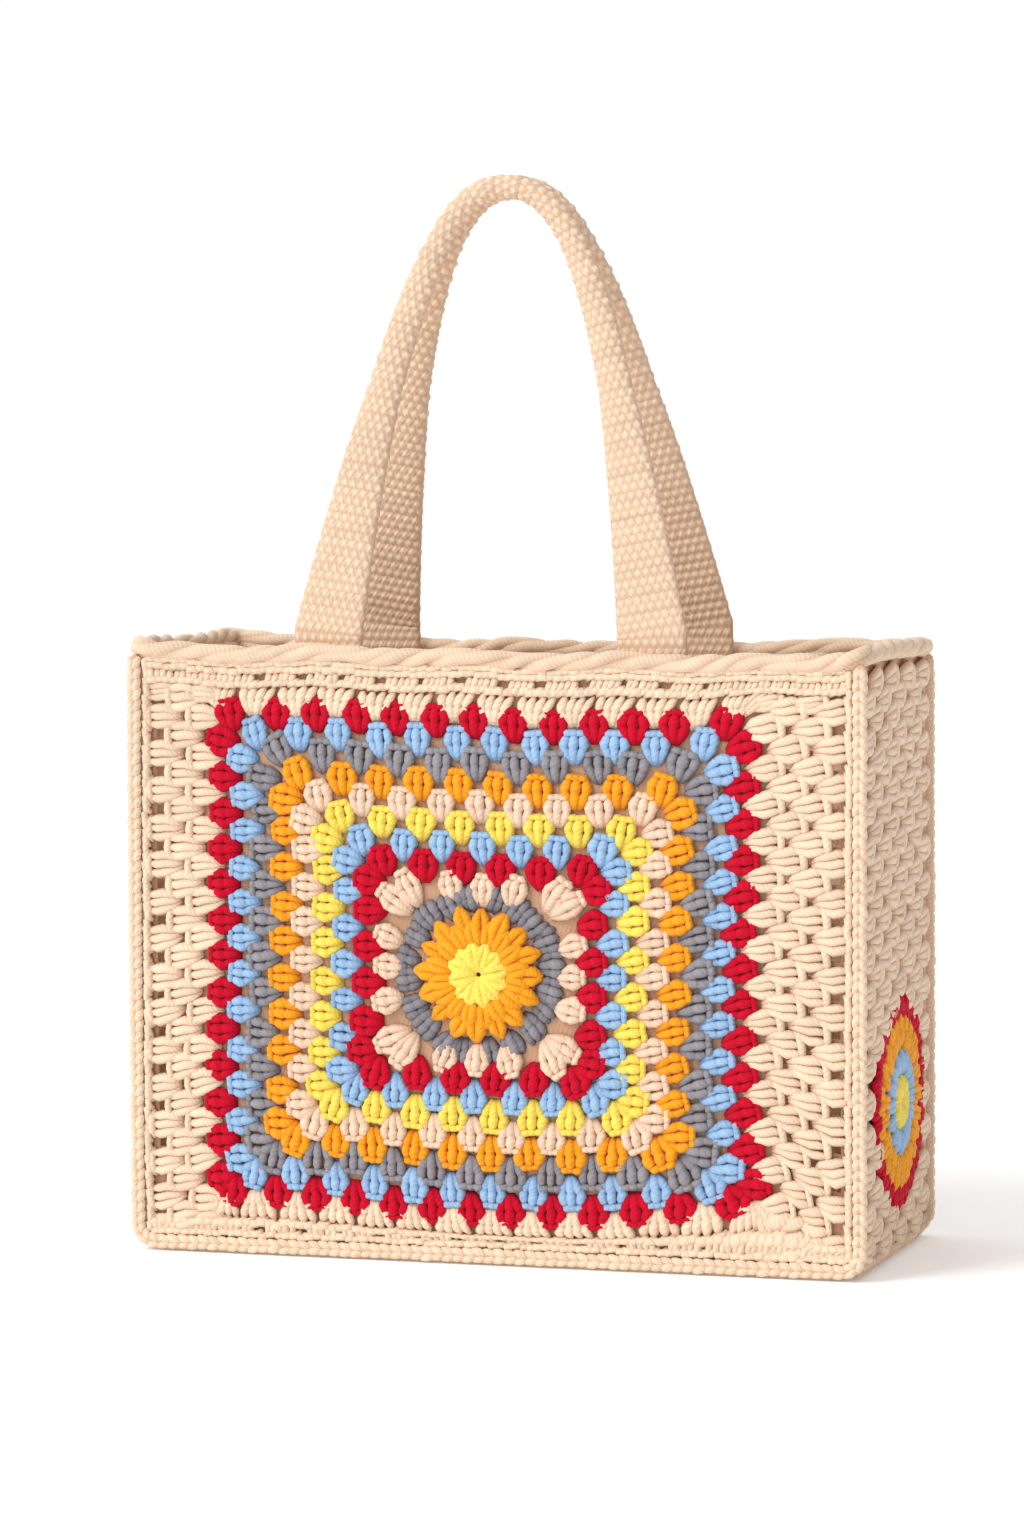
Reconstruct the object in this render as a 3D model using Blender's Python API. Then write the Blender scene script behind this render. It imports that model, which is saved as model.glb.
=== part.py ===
"""Crochet tote bag: two granny-square faces, side panels, base, seam ridges, rim and two handles.

Metres, +Z up. The origin is under the middle of the base, +X runs along the width and the
front face looks along -Y. Every flat piece is drawn on the plane of its wall, and one function
then carries it to the slack form that the empty bag takes.
"""

import math

import bmesh
import bpy
from mathutils import Matrix, Vector

# Driving dimensions of the body
BODY_WIDTH = 0.394
BODY_DEPTH = 0.159
BODY_HEIGHT = 0.318
WALL = 0.006
ROPE = 0.010
ROPE_PROUD = 0.0035
ROPE_CORNER = 0.009
BASE_CORNER = 0.014
CLEARANCE = 0.0004

# Slack form of the empty bag
MOUTH_LEAN = 0.012
MOUTH_DIP = 0.0035
SIDE_RISE = 0.002
FACE_SWELL = 0.003
RIM_WAVE = 0.0009
RIM_WAVE_LENGTH = 0.082
RIM_WAVE_SKEW = 0.6
LEAN_START = 0.45
LEAN_POWER = 1.6
SLACK_POWER = 4

# Granny square of each face
SQUARE_WIDTH = 0.298
SQUARE_HEIGHT = 0.268
SQUARE_SHIFT = -0.005
SQUARE_DROP = 0.002
FLOWER_SHIFT = 0.0023
FLOWER_DROP = 0.004
ROUND_STEP_ACROSS = 0.0112
ROUND_STEP_UP = 0.0101
SQUARE_CORNER = 0.014
SQUARE_CORNER_STEP = 0.001
GREY_ROUND_RADIUS = 0.045
FLOWER_RADIUS = 0.035
FLOWER_NOTCH = 0.005
FLOWER_POINTS = 16
CENTRE_RADIUS = 0.017
CENTRE_NOTCH = 0.0025
CENTRE_PETALS = 12

# Stitch gaps of the surround
GAP_SIZE = 0.0048
GAP_PITCH = 0.0193
GAP_COLUMN_STEP = 0.0113
GAP_OUTER_MARGIN = 0.0062
GAPS_IN_COLUMN = 12

# Flower of each side panel
SIDE_FLOWER_RADIUS = 0.057
SIDE_FLOWER_NOTCH = 0.008
SIDE_FLOWER_HEIGHT = 0.081
SIDE_FLOWER_SHIFT = 0.006
SIDE_ORANGE_RADIUS = 0.047
SIDE_ORANGE_NOTCH = 0.006
SIDE_SKY_RADIUS = 0.028
SIDE_YELLOW_RADIUS = 0.015
SIDE_POINTS = 16

# Handles
HANDLE_RISE = 0.242
HANDLE_TUCK = 0.022
HANDLE_WIDTH = 0.038
HANDLE_THICKNESS = 0.006
HANDLE_TOP_HEIGHT = 0.0135
HANDLE_TOP_DEPTH = 0.0128
HANDLE_SPAN = 0.179
HANDLE_ARCH_SHIFT = -0.011
HANDLE_ARCH_POWER = 2.38
FRONT_HANDLE_SHIFT = -0.006
BACK_HANDLE_SHIFT = -0.012
HANDLE_SECTIONS = 28
HANDLE_SECTION_POWER = 0.85
HANDLE_SIDES = 10
BAND_BLUNTNESS = 0.55
CORD_BLUNTNESS = 1.0

# Spacing of points along outlines
BORDER_STEP = 0.034
RING_STEP = 0.075
ROPE_STEP = 0.034
RIM_STEP = 0.024
ROUND_SIDES = 24
BASE_CORNER_PARTS = 4
ROPE_CORNER_PARTS = 3
ROPE_BEVEL_PARTS = 2
WELD_DISTANCE = 0.00005

HALF_WIDTH = BODY_WIDTH / 2
HALF_DEPTH = BODY_DEPTH / 2
FACE_OFFSET = HALF_DEPTH - ROPE_PROUD
SIDE_OFFSET = HALF_WIDTH - ROPE_PROUD
ROPE_EDGE = ROPE + CLEARANCE
SQUARE_CENTRE_HEIGHT = BODY_HEIGHT / 2 - SQUARE_DROP

# Yarn colours as display red, green and blue
YARNS = {
    "beige": (0.93, 0.84, 0.72),
    "cream": (0.95, 0.86, 0.75),
    "red": (0.80, 0.03, 0.18),
    "sky": (0.61, 0.75, 0.88),
    "grey": (0.58, 0.57, 0.60),
    "orange": (0.97, 0.66, 0.14),
    "yellow": (0.99, 0.89, 0.38),
}
YARN_ROUGHNESS = 0.85

# Square rounds from the outside in: name and yarn
SQUARE_ROUNDS = (
    ("red_outer", "red"),
    ("sky_outer", "sky"),
    ("grey_square", "grey"),
    ("orange_square", "orange"),
    ("beige_square", "cream"),
    ("yellow_square", "yellow"),
    ("sky_inner", "sky"),
    ("red_inner", "red"),
)

# Handle by height above the rim: share of the rise, how far the band has folded lengthways,
# and how far it has come in from the face to its place beside the other handle
HANDLE_FOLDS = (
    (0.00, 0.00, 0.00),
    (0.20, 0.28, 0.20),
    (0.40, 0.55, 0.41),
    (0.55, 0.77, 0.58),
    (0.65, 0.82, 0.70),
    (0.75, 0.87, 0.81),
    (0.88, 0.97, 0.93),
    (1.00, 1.00, 1.00),
)


def clear_scene():
    """Removes whatever the scene starts with."""
    for old in list(bpy.data.objects):
        bpy.data.objects.remove(old, do_unlink=True)


def linear(value):
    """Turns a display colour value into the linear value that a shader takes."""
    if value <= 0.04045:
        return value / 12.92
    return ((value + 0.055) / 1.055) ** 2.4


def yarn_material(name, yarn):
    """Gives a piece its own matt yarn material."""
    material = bpy.data.materials.new(f"{name}_{yarn}_yarn")
    material.use_nodes = True
    shader = material.node_tree.nodes["Principled BSDF"]
    shader.inputs["Base Color"].default_value = (*[linear(v) for v in YARNS[yarn]], 1.0)
    shader.inputs["Roughness"].default_value = YARN_ROUGHNESS
    shader.inputs["Metallic"].default_value = 0.0
    return material


def relaxed(point):
    """Carries a point of the flat-sided box to the slack form of the empty bag.

    The faces swell a little at mid height and lean in towards the mouth between the corners,
    the rim dips along the faces, rises along the sides and waves slightly.
    """
    x, y, z = point
    height = z / BODY_HEIGHT
    across = 1 - min(1.0, abs(x) / HALF_WIDTH) ** SLACK_POWER
    along = 1 - min(1.0, abs(y) / HALF_DEPTH) ** SLACK_POWER
    upper = max(0.0, (height - LEAN_START) / (1 - LEAN_START))
    lean = MOUTH_LEAN * upper**LEAN_POWER * across
    swell = FACE_SWELL * math.sin(math.pi * min(1.0, max(0.0, height))) * across
    wave = RIM_WAVE * math.sin(2 * math.pi * (x + RIM_WAVE_SKEW * y) / RIM_WAVE_LENGTH)
    rise = SIDE_RISE * along - MOUTH_DIP * across + wave
    return Vector((x, y * (1 - (lean - swell) / HALF_DEPTH), z + rise * upper**2))


def finish(name, mesh, yarn, collection, root):
    """Makes the object of a mesh drawn in world space, placed at the middle of its box."""
    corners = [vertex.co for vertex in mesh.vertices]
    low = Vector([min(c[i] for c in corners) for i in range(3)])
    high = Vector([max(c[i] for c in corners) for i in range(3)])
    middle = (low + high) / 2
    mesh.transform(Matrix.Translation(-middle))
    mesh.materials.clear()
    mesh.materials.append(yarn_material(name, yarn))
    piece = bpy.data.objects.new(name, mesh)
    piece.location = middle
    piece.parent = root
    collection.objects.link(piece)
    return piece


def mesh_of_curve(curve):
    """Reads a curve as one welded mesh and drops the curve."""
    holder = bpy.data.objects.new(curve.name, curve)
    bpy.context.scene.collection.objects.link(holder)
    graph = bpy.context.evaluated_depsgraph_get()
    mesh = bpy.data.meshes.new_from_object(holder.evaluated_get(graph))
    bpy.data.objects.remove(holder, do_unlink=True)
    bpy.data.curves.remove(curve)
    work = bmesh.new()
    work.from_mesh(mesh)
    bmesh.ops.remove_doubles(work, verts=work.verts, dist=WELD_DISTANCE)
    bmesh.ops.recalc_face_normals(work, faces=work.faces)
    work.to_mesh(mesh)
    work.free()
    return mesh


def flat_mesh(name, outlines, thickness):
    """Fills flat outlines, inner ones being holes, and gives them a thickness."""
    curve = bpy.data.curves.new(name, "CURVE")
    curve.dimensions = "2D"
    curve.fill_mode = "BOTH"
    curve.extrude = thickness / 2
    for outline in outlines:
        spline = curve.splines.new("POLY")
        spline.points.add(len(outline) - 1)
        for spot, (u, v) in zip(spline.points, outline):
            spot.co = (u, v, 0.0, 1.0)
        spline.use_cyclic_u = True
    return mesh_of_curve(curve)


def rounded_rectangle(half_u, half_v, radius, step, centre=(0.0, 0.0), corner_points=3):
    """Outline of a rectangle with round corners, with points at most a step apart."""
    inner_u = half_u - radius
    inner_v = half_v - radius
    corners = (
        (inner_u, -inner_v, -90),
        (inner_u, inner_v, 0),
        (-inner_u, inner_v, 90),
        (-inner_u, -inner_v, 180),
    )
    outline = []
    for index, (u, v, start) in enumerate(corners):
        for k in range(corner_points):
            angle = math.radians(start + 90 * k / (corner_points - 1))
            outline.append((u + radius * math.cos(angle), v + radius * math.sin(angle)))
        length = 2 * (inner_v if index % 2 == 0 else inner_u)
        parts = max(1, math.ceil(length / step))
        next_u, next_v, next_start = corners[(index + 1) % 4]
        angle = math.radians(next_start)
        first = outline[-1]
        last = (next_u + radius * math.cos(angle), next_v + radius * math.sin(angle))
        for k in range(1, parts):
            share = k / parts
            spot = [a + (b - a) * share for a, b in zip(first, last)]
            outline.append(tuple(spot))
    return [(centre[0] + u, centre[1] + v) for u, v in outline]


def star(points, radius, notch, centre):
    """Outline with pointed rays, the notch being how far the valleys lie inside the points."""
    outline = []
    for k in range(2 * points):
        reach = radius - notch * (k % 2)
        angle = math.pi * k / points + math.pi / 2
        outline.append((centre[0] + reach * math.cos(angle), centre[1] + reach * math.sin(angle)))
    return outline


def disc(sides, radius, centre):
    """Outline of a circle with so many sides."""
    return star(sides // 2, radius, 0.0, centre)


def on_wall(mesh, turn, offset):
    """Stands a flat mesh on a wall turned about the upright axis, and relaxes it."""
    rotation = Matrix.Rotation(turn, 4, "Z")
    for vertex in mesh.vertices:
        u, v, w = vertex.co
        boxed = rotation @ Vector((u, -(offset - WALL / 2) - w, v))
        vertex.co = relaxed(boxed)
    mesh.update()


def wall_piece(name, yarn, outlines, wall, collection, root):
    """Builds one flat piece of a wall from its outlines."""
    mesh = flat_mesh(name, outlines, WALL)
    on_wall(mesh, wall["turn"], wall["offset"])
    return finish(name, mesh, yarn, collection, root)


def square_half(index):
    """Half width and half height of the outer edge of a square round, counted from outside."""
    return (
        SQUARE_WIDTH / 2 - index * ROUND_STEP_ACROSS,
        SQUARE_HEIGHT / 2 - index * ROUND_STEP_UP,
    )


def square_centre(index):
    """Middle of a square round: the flower's middle lies off the middle of the outer round."""
    share = index / len(SQUARE_ROUNDS)
    return (SQUARE_SHIFT + FLOWER_SHIFT * share, SQUARE_CENTRE_HEIGHT - FLOWER_DROP * share)


def stitch_gaps():
    """Square gaps in staggered columns beside the granny square.

    Columns are placed inwards from the seam ridge, as many as the strip has room for. The column
    next to the square has its gaps half a pitch off the square's middle, the next one on it.
    """
    half = GAP_SIZE / 2
    outermost = HALF_WIDTH - ROPE - GAP_OUTER_MARGIN
    low = SQUARE_CENTRE_HEIGHT - GAP_PITCH * (GAPS_IN_COLUMN - 1) / 2
    gaps = []
    for side in (-1, 1):
        square_edge = side * SQUARE_SHIFT + SQUARE_WIDTH / 2
        room = outermost - square_edge - GAP_COLUMN_STEP / 2
        columns = 1 + math.floor(room / GAP_COLUMN_STEP)
        for k in range(columns):
            u = side * (outermost - k * GAP_COLUMN_STEP)
            lift = GAP_PITCH / 2 * ((columns - 1 - k) % 2)
            for row in range(GAPS_IN_COLUMN):
                v = low + row * GAP_PITCH + lift
                signs = ((-1, -1), (1, -1), (1, 1), (-1, 1))
                gaps.append([(u + half * a, v + half * b) for a, b in signs])
    return gaps


def border_outline():
    """Outer edge of a face's surround, inside the seam ridge and under the rim."""
    half_u = HALF_WIDTH - ROPE_EDGE
    low = ROPE_EDGE
    high = BODY_HEIGHT - ROPE_EDGE
    radius = ROPE_CORNER - ROPE / 2
    centre = (0.0, (low + high) / 2)
    return rounded_rectangle(half_u, (high - low) / 2, radius, BORDER_STEP, centre)


def build_face(prefix, turn, collection, root):
    """Builds one face: the pierced surround, the square rounds and the round middle."""
    wall = {"turn": turn, "offset": FACE_OFFSET}
    centre = square_centre(len(SQUARE_ROUNDS))

    def square(index, grow):
        half_u, half_v = square_half(index)
        radius = SQUARE_CORNER - index * SQUARE_CORNER_STEP + grow
        step = BORDER_STEP if index == 0 else RING_STEP
        middle = square_centre(index)
        return rounded_rectangle(half_u + grow, half_v + grow, radius, step, middle)

    outlines = [border_outline(), square(0, CLEARANCE), *stitch_gaps()]
    wall_piece(f"{prefix}_border", "beige", outlines, wall, collection, root)
    for index, (name, yarn) in enumerate(SQUARE_ROUNDS):
        outlines = [square(index, 0.0), square(index + 1, CLEARANCE)]
        wall_piece(f"{prefix}_{name}", yarn, outlines, wall, collection, root)

    petals_edge = square(len(SQUARE_ROUNDS), 0.0)
    grey_hole = disc(ROUND_SIDES, GREY_ROUND_RADIUS + CLEARANCE, centre)
    wall_piece(f"{prefix}_cream_petals", "cream", [petals_edge, grey_hole], wall, collection, root)
    grey = disc(ROUND_SIDES, GREY_ROUND_RADIUS, centre)
    flower_hole = star(FLOWER_POINTS, FLOWER_RADIUS + CLEARANCE, FLOWER_NOTCH, centre)
    wall_piece(f"{prefix}_grey_round", "grey", [grey, flower_hole], wall, collection, root)
    flower = star(FLOWER_POINTS, FLOWER_RADIUS, FLOWER_NOTCH, centre)
    centre_hole = star(CENTRE_PETALS, CENTRE_RADIUS + CLEARANCE, CENTRE_NOTCH, centre)
    wall_piece(f"{prefix}_orange_flower", "orange", [flower, centre_hole], wall, collection, root)
    middle = star(CENTRE_PETALS, CENTRE_RADIUS, CENTRE_NOTCH, centre)
    wall_piece(f"{prefix}_yellow_centre", "yellow", [middle], wall, collection, root)


def build_side(prefix, turn, shift, collection, root):
    """Builds one side panel with the flower set in it."""
    wall = {"turn": turn, "offset": SIDE_OFFSET}
    half_u = HALF_DEPTH - ROPE_EDGE
    low = BASE_CORNER + CLEARANCE
    high = BODY_HEIGHT - ROPE_EDGE
    middle = (0.0, (low + high) / 2)
    centre = (shift, SIDE_FLOWER_HEIGHT)
    panel = rounded_rectangle(half_u, (high - low) / 2, CLEARANCE, BORDER_STEP, middle, corner_points=2)
    edge = star(SIDE_POINTS, SIDE_FLOWER_RADIUS + CLEARANCE, SIDE_FLOWER_NOTCH, centre)
    wall_piece(f"{prefix}_gusset", "beige", [panel, edge], wall, collection, root)
    outer = star(SIDE_POINTS, SIDE_FLOWER_RADIUS, SIDE_FLOWER_NOTCH, centre)
    inner = star(SIDE_POINTS, SIDE_ORANGE_RADIUS + CLEARANCE, SIDE_ORANGE_NOTCH, centre)
    wall_piece(f"{prefix}_red_points", "red", [outer, inner], wall, collection, root)
    outer = star(SIDE_POINTS, SIDE_ORANGE_RADIUS, SIDE_ORANGE_NOTCH, centre)
    inner = disc(SIDE_POINTS, SIDE_SKY_RADIUS + CLEARANCE, centre)
    wall_piece(f"{prefix}_orange_petals", "orange", [outer, inner], wall, collection, root)
    outer = disc(SIDE_POINTS, SIDE_SKY_RADIUS, centre)
    inner = disc(SIDE_POINTS, SIDE_YELLOW_RADIUS + CLEARANCE, centre)
    wall_piece(f"{prefix}_sky_ring", "sky", [outer, inner], wall, collection, root)
    outer = disc(SIDE_POINTS, SIDE_YELLOW_RADIUS, centre)
    wall_piece(f"{prefix}_yellow_dot", "yellow", [outer], wall, collection, root)


def build_base(collection, root):
    """Builds the base as a plate whose ends turn up to meet the side panels."""
    bend_x = SIDE_OFFSET - BASE_CORNER
    outer = []
    inner = []
    for side in (-1, 1):
        for k in range(BASE_CORNER_PARTS + 1):
            angle = math.pi / 2 * k / BASE_CORNER_PARTS
            swing = math.sin(angle) if side > 0 else math.cos(angle)
            drop = math.cos(angle) if side > 0 else math.sin(angle)
            outer.append((side * (bend_x + BASE_CORNER * swing), BASE_CORNER * (1 - drop)))
            reach = BASE_CORNER - WALL
            inner.append((side * (bend_x + reach * swing), BASE_CORNER - reach * drop))
    outline = outer + inner[::-1]
    mesh = flat_mesh("base_panel", [outline], BODY_DEPTH - 2 * ROPE_EDGE)
    for vertex in mesh.vertices:
        u, v, w = vertex.co
        vertex.co = relaxed((u, -w, v))
    mesh.update()
    return finish("base_panel", mesh, "beige", collection, root)


def rope(name, route, closed, collection, root):
    """Builds a round ridge along a route of relaxed points."""
    curve = bpy.data.curves.new(name, "CURVE")
    curve.dimensions = "3D"
    curve.bevel_depth = ROPE / 2
    curve.bevel_resolution = ROPE_BEVEL_PARTS
    curve.use_fill_caps = not closed
    spline = curve.splines.new("POLY")
    spline.points.add(len(route) - 1)
    for spot, point in zip(spline.points, route):
        spot.co = (*point, 1.0)
    spline.use_cyclic_u = closed
    return finish(name, mesh_of_curve(curve), "beige", collection, root)


def between(first, last, step):
    """Points from the first to just before the last, at most a step apart."""
    first, last = Vector(first), Vector(last)
    parts = max(1, math.ceil((last - first).length / step))
    return [first.lerp(last, k / parts) for k in range(parts)]


def build_seam(name, side, collection, root):
    """Builds the joining ridge that runs down, along and up one face."""
    y = side * (HALF_DEPTH - ROPE / 2)
    x = HALF_WIDTH - ROPE / 2
    low = ROPE / 2
    top = BODY_HEIGHT - ROPE_EDGE
    bend = low + ROPE_CORNER
    route = between((-x, y, top), (-x, y, bend), ROPE_STEP)
    for turn_side in (-1, 1):
        corner_x = turn_side * (x - ROPE_CORNER)
        for k in range(ROPE_CORNER_PARTS + 1):
            angle = math.pi / 2 * k / ROPE_CORNER_PARTS
            swing = math.cos(angle) if turn_side < 0 else math.sin(angle)
            drop = math.sin(angle) if turn_side < 0 else math.cos(angle)
            across = corner_x + turn_side * ROPE_CORNER * swing
            route.append(Vector((across, y, bend - ROPE_CORNER * drop)))
        if turn_side < 0:
            route += between((corner_x, y, low), (-corner_x, y, low), ROPE_STEP)[1:]
    route += between((x, y, bend), (x, y, top), ROPE_STEP)[1:]
    route.append(Vector((x, y, top)))
    return rope(name, [relaxed(point) for point in route], False, collection, root)


def build_rim(collection, root):
    """Builds the rolled edge as one ring round the mouth."""
    x = HALF_WIDTH - ROPE / 2
    y = HALF_DEPTH - ROPE / 2
    outline = rounded_rectangle(x, y, ROPE_CORNER, RIM_STEP)
    level = BODY_HEIGHT - ROPE / 2
    return rope("top_rim", [relaxed((u, v, level)) for u, v in outline], True, collection, root)


def folded(share):
    """Reads the fold and the way in from the table at a share of the rise."""
    for before, after in zip(HANDLE_FOLDS, HANDLE_FOLDS[1:]):
        if share <= after[0]:
            part = (share - before[0]) / (after[0] - before[0])
            return [before[k] + (after[k] - before[k]) * part for k in (1, 2)]
    return HANDLE_FOLDS[-1][1:]


def handle_route(side, shift):
    """Centre line of a handle, each row holding a point and its share of the rise.

    Above the rim the height falls from the top with a power of the distance from the middle,
    and each foot runs straight down inside the rim.
    """
    rim_level = BODY_HEIGHT + ROPE / 2
    rise = HANDLE_RISE - HANDLE_TOP_HEIGHT / 2 - ROPE / 2
    top_y = side * (HANDLE_TOP_DEPTH + CLEARANCE) / 2
    inset = HALF_DEPTH - ROPE - CLEARANCE - HANDLE_THICKNESS / 2
    arch = []
    for k in range(HANDLE_SECTIONS + 1):
        spread = 2 * k / HANDLE_SECTIONS - 1
        spread = math.copysign(abs(spread) ** HANDLE_SECTION_POWER, spread)
        hand = -1 if spread < 0 else 1
        share = 1 - abs(spread) ** HANDLE_ARCH_POWER
        inner_edge = shift + hand * (HANDLE_SPAN - HANDLE_WIDTH) / 2
        band_y = relaxed((inner_edge, side * inset, BODY_HEIGHT)).y
        middle = HANDLE_ARCH_SHIFT + (shift - HANDLE_ARCH_SHIFT) * spread**2
        x = middle + spread * HANDLE_SPAN / 2
        y = band_y + (top_y - band_y) * folded(share)[1]
        arch.append((Vector((x, y, rim_level + rise * share)), share))
    feet = []
    for end in (arch[0][0], arch[-1][0]):
        foot = Vector((end.x, end.y, BODY_HEIGHT - HANDLE_TUCK))
        feet.append([(foot, 0.0), ((foot + end) / 2, 0.0)])
    return feet[0] + arch + feet[1][::-1]


def build_handle(name, side, shift, collection, root):
    """Lofts a handle: a flat band at its feet that folds into a thick cord over the arch."""
    route = handle_route(side, shift)
    outward = Vector((0.0, side, 0.0))
    work = bmesh.new()
    rings = []
    for index, (point, share) in enumerate(route):
        before = route[max(0, index - 1)][0]
        after = route[min(len(route) - 1, index + 1)][0]
        along = (after - before).normalized()
        normal = (outward - along * outward.dot(along)).normalized()
        across = along.cross(normal)
        fold = folded(share)[0]
        half_width = (HANDLE_WIDTH + (HANDLE_TOP_HEIGHT - HANDLE_WIDTH) * fold) / 2
        half_thick = (HANDLE_THICKNESS + (HANDLE_TOP_DEPTH - HANDLE_THICKNESS) * fold) / 2
        blunt = BAND_BLUNTNESS + (CORD_BLUNTNESS - BAND_BLUNTNESS) * fold
        ring = []
        for k in range(HANDLE_SIDES):
            angle = 2 * math.pi * (k + 0.5) / HANDLE_SIDES
            u = math.copysign(abs(math.cos(angle)) ** blunt, math.cos(angle)) * half_width
            v = math.copysign(abs(math.sin(angle)) ** blunt, math.sin(angle)) * half_thick
            ring.append(work.verts.new(point + across * u + normal * v))
        rings.append(ring)
    for first, second in zip(rings, rings[1:]):
        for k in range(HANDLE_SIDES):
            follow = (k + 1) % HANDLE_SIDES
            work.faces.new((first[k], first[follow], second[follow], second[k]))
    work.faces.new(rings[0][::-1])
    work.faces.new(rings[-1])
    bmesh.ops.triangulate(work, faces=work.faces)
    bmesh.ops.recalc_face_normals(work, faces=work.faces)
    mesh = bpy.data.meshes.new(name)
    work.to_mesh(mesh)
    work.free()
    return finish(name, mesh, "beige", collection, root)


def main():
    """Builds the whole bag."""
    clear_scene()
    collection = bpy.data.collections.new("crochet_tote_bag")
    bpy.context.scene.collection.children.link(collection)
    root = bpy.data.objects.new("bag_root", None)
    collection.objects.link(root)
    build_face("front", 0.0, collection, root)
    build_face("back", math.pi, collection, root)
    build_side("right", math.pi / 2, SIDE_FLOWER_SHIFT, collection, root)
    build_side("left", -math.pi / 2, -SIDE_FLOWER_SHIFT, collection, root)
    build_base(collection, root)
    build_seam("front_seam", -1, collection, root)
    build_seam("back_seam", 1, collection, root)
    build_rim(collection, root)
    build_handle("front_handle", -1, FRONT_HANDLE_SHIFT, collection, root)
    build_handle("back_handle", 1, BACK_HANDLE_SHIFT, collection, root)


main()
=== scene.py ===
"""Looks of the crochet tote bag: clusters, chains and the rim are made of yarn strands.

The handles, the base and the inner faces are sheets with their stitches raised in rows. Metres,
+Z up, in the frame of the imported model. Each wall is worked on its own plane, as u across the
wall, v up and w out of its outer face, and is then carried to the slack form of the empty bag.
"""

from __future__ import annotations

import logging
import math
from dataclasses import dataclass, field, fields, replace
from enum import Enum
from typing import ClassVar

import bpy
import numpy as np
from mathutils import Matrix, Vector


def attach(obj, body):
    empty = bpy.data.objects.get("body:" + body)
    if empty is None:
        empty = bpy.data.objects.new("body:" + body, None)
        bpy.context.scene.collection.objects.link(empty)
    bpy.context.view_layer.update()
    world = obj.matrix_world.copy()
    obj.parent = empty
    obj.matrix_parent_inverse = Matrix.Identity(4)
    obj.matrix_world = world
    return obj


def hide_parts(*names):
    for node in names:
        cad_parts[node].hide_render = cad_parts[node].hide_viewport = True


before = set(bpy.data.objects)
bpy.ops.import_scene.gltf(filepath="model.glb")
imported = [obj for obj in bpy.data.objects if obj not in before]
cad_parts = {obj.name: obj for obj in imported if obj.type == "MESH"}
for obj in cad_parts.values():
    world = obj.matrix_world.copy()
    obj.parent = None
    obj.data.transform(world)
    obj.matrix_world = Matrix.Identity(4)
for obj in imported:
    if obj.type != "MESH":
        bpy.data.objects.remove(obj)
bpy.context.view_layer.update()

LOG = logging.getLogger("crochet_bag")
MM = 0.001
TURN = 2 * math.pi
INNER_ROW = 8.8 * MM
INNER_ROW_RELIEF = 0.9 * MM
INNER_STITCH = 2.6 * MM
# Lit shares of the painted shade on plates: in the grooves, added on the rows, and on the outer face.
INNER_GROOVE_LIGHT = 0.35
INNER_ROW_LIGHT = 0.6
PLATE_LIGHT = 0.05
STRAND_SIDES = 6
POLE_REACH = 0.7
CHAIN_SPACING = 5.6 * MM
ROW_PITCH = 4.3 * MM
Array = np.ndarray
Colour = tuple[int, int, int]


class Yarn(Enum):
    """Material slots of the record, one for each yarn."""

    BEIGE = "beige_yarn"
    CREAM = "cream_yarn"
    RED = "red_yarn"
    SKY = "sky_yarn"
    GREY = "grey_yarn"
    ORANGE = "orange_yarn"
    YELLOW = "yellow_yarn"


@dataclass(frozen=True)
class SlackForm:
    """Form of the empty bag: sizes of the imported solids, with the sides 2 mm fuller."""

    half_width: float = 0.1990
    half_depth: float = 0.0795
    height: float = 0.318
    rope: float = 0.010
    rope_proud: float = 0.0035
    rope_corner: float = 0.009
    base_corner: float = 0.014
    wall: float = 0.006
    mouth_lean: float = 0.012
    mouth_dip: float = 0.0035
    side_rise: float = 0.002
    face_swell: float = 0.003
    rim_wave: float = 0.0009
    rim_wave_length: float = 0.082
    rim_wave_skew: float = 0.6
    lean_start: float = 0.45
    lean_power: float = 1.6
    slack_power: float = 4.0
    uneven_power: float = 7.0
    uneven_places: tuple[float, ...] = (
        -0.199, -0.180, -0.150, -0.100, -0.060, -0.025, 0.030, 0.130, 0.172, 0.186, 0.199,
    )
    uneven_lifts: tuple[float, ...] = (
        0.0034, 0.0020, 0.0023, 0.0030, 0.0024, 0.0006, 0.0, -0.0005, -0.0020, 0.0004, 0.0034,
    )

    def carry(self, points: Array) -> Array:
        """Carries points of the flat-sided box to the slack form.

        Faces swell by a sine of the height and lean in by a power of it above lean_start, both
        fading to nothing at the corners; the rim dips on the faces, rises on the sides and waves.
        The front rim is worked unevenly, by lifts read between places across it.

        Args:
            points: Array whose last axis is x, y, z.

        Returns:
            Array of the same shape.
        """
        x, y, z = points[..., 0], points[..., 1], points[..., 2]
        level = z / self.height
        across = 1 - np.minimum(1, np.abs(x) / self.half_width) ** self.slack_power
        along = 1 - np.minimum(1, np.abs(y) / self.half_depth) ** self.slack_power
        upper = np.maximum(0, (level - self.lean_start) / (1 - self.lean_start))
        lean = self.mouth_lean * upper**self.lean_power * across
        swell = self.face_swell * np.sin(np.pi * np.clip(level, 0, 1)) * across
        wave = self.rim_wave * np.sin(TURN * (x + self.rim_wave_skew * y) / self.rim_wave_length)
        rise = self.side_rise * along - self.mouth_dip * across + wave
        slack_y = y * (1 - (lean - swell) / self.half_depth)
        front = np.clip(-y / self.half_depth, 0, 1) ** 2
        uneven = np.interp(x, self.uneven_places, self.uneven_lifts) * front * upper**self.uneven_power
        return np.stack([x, slack_y, z + rise * upper**2 + uneven], axis=-1)


BAG = SlackForm()


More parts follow.
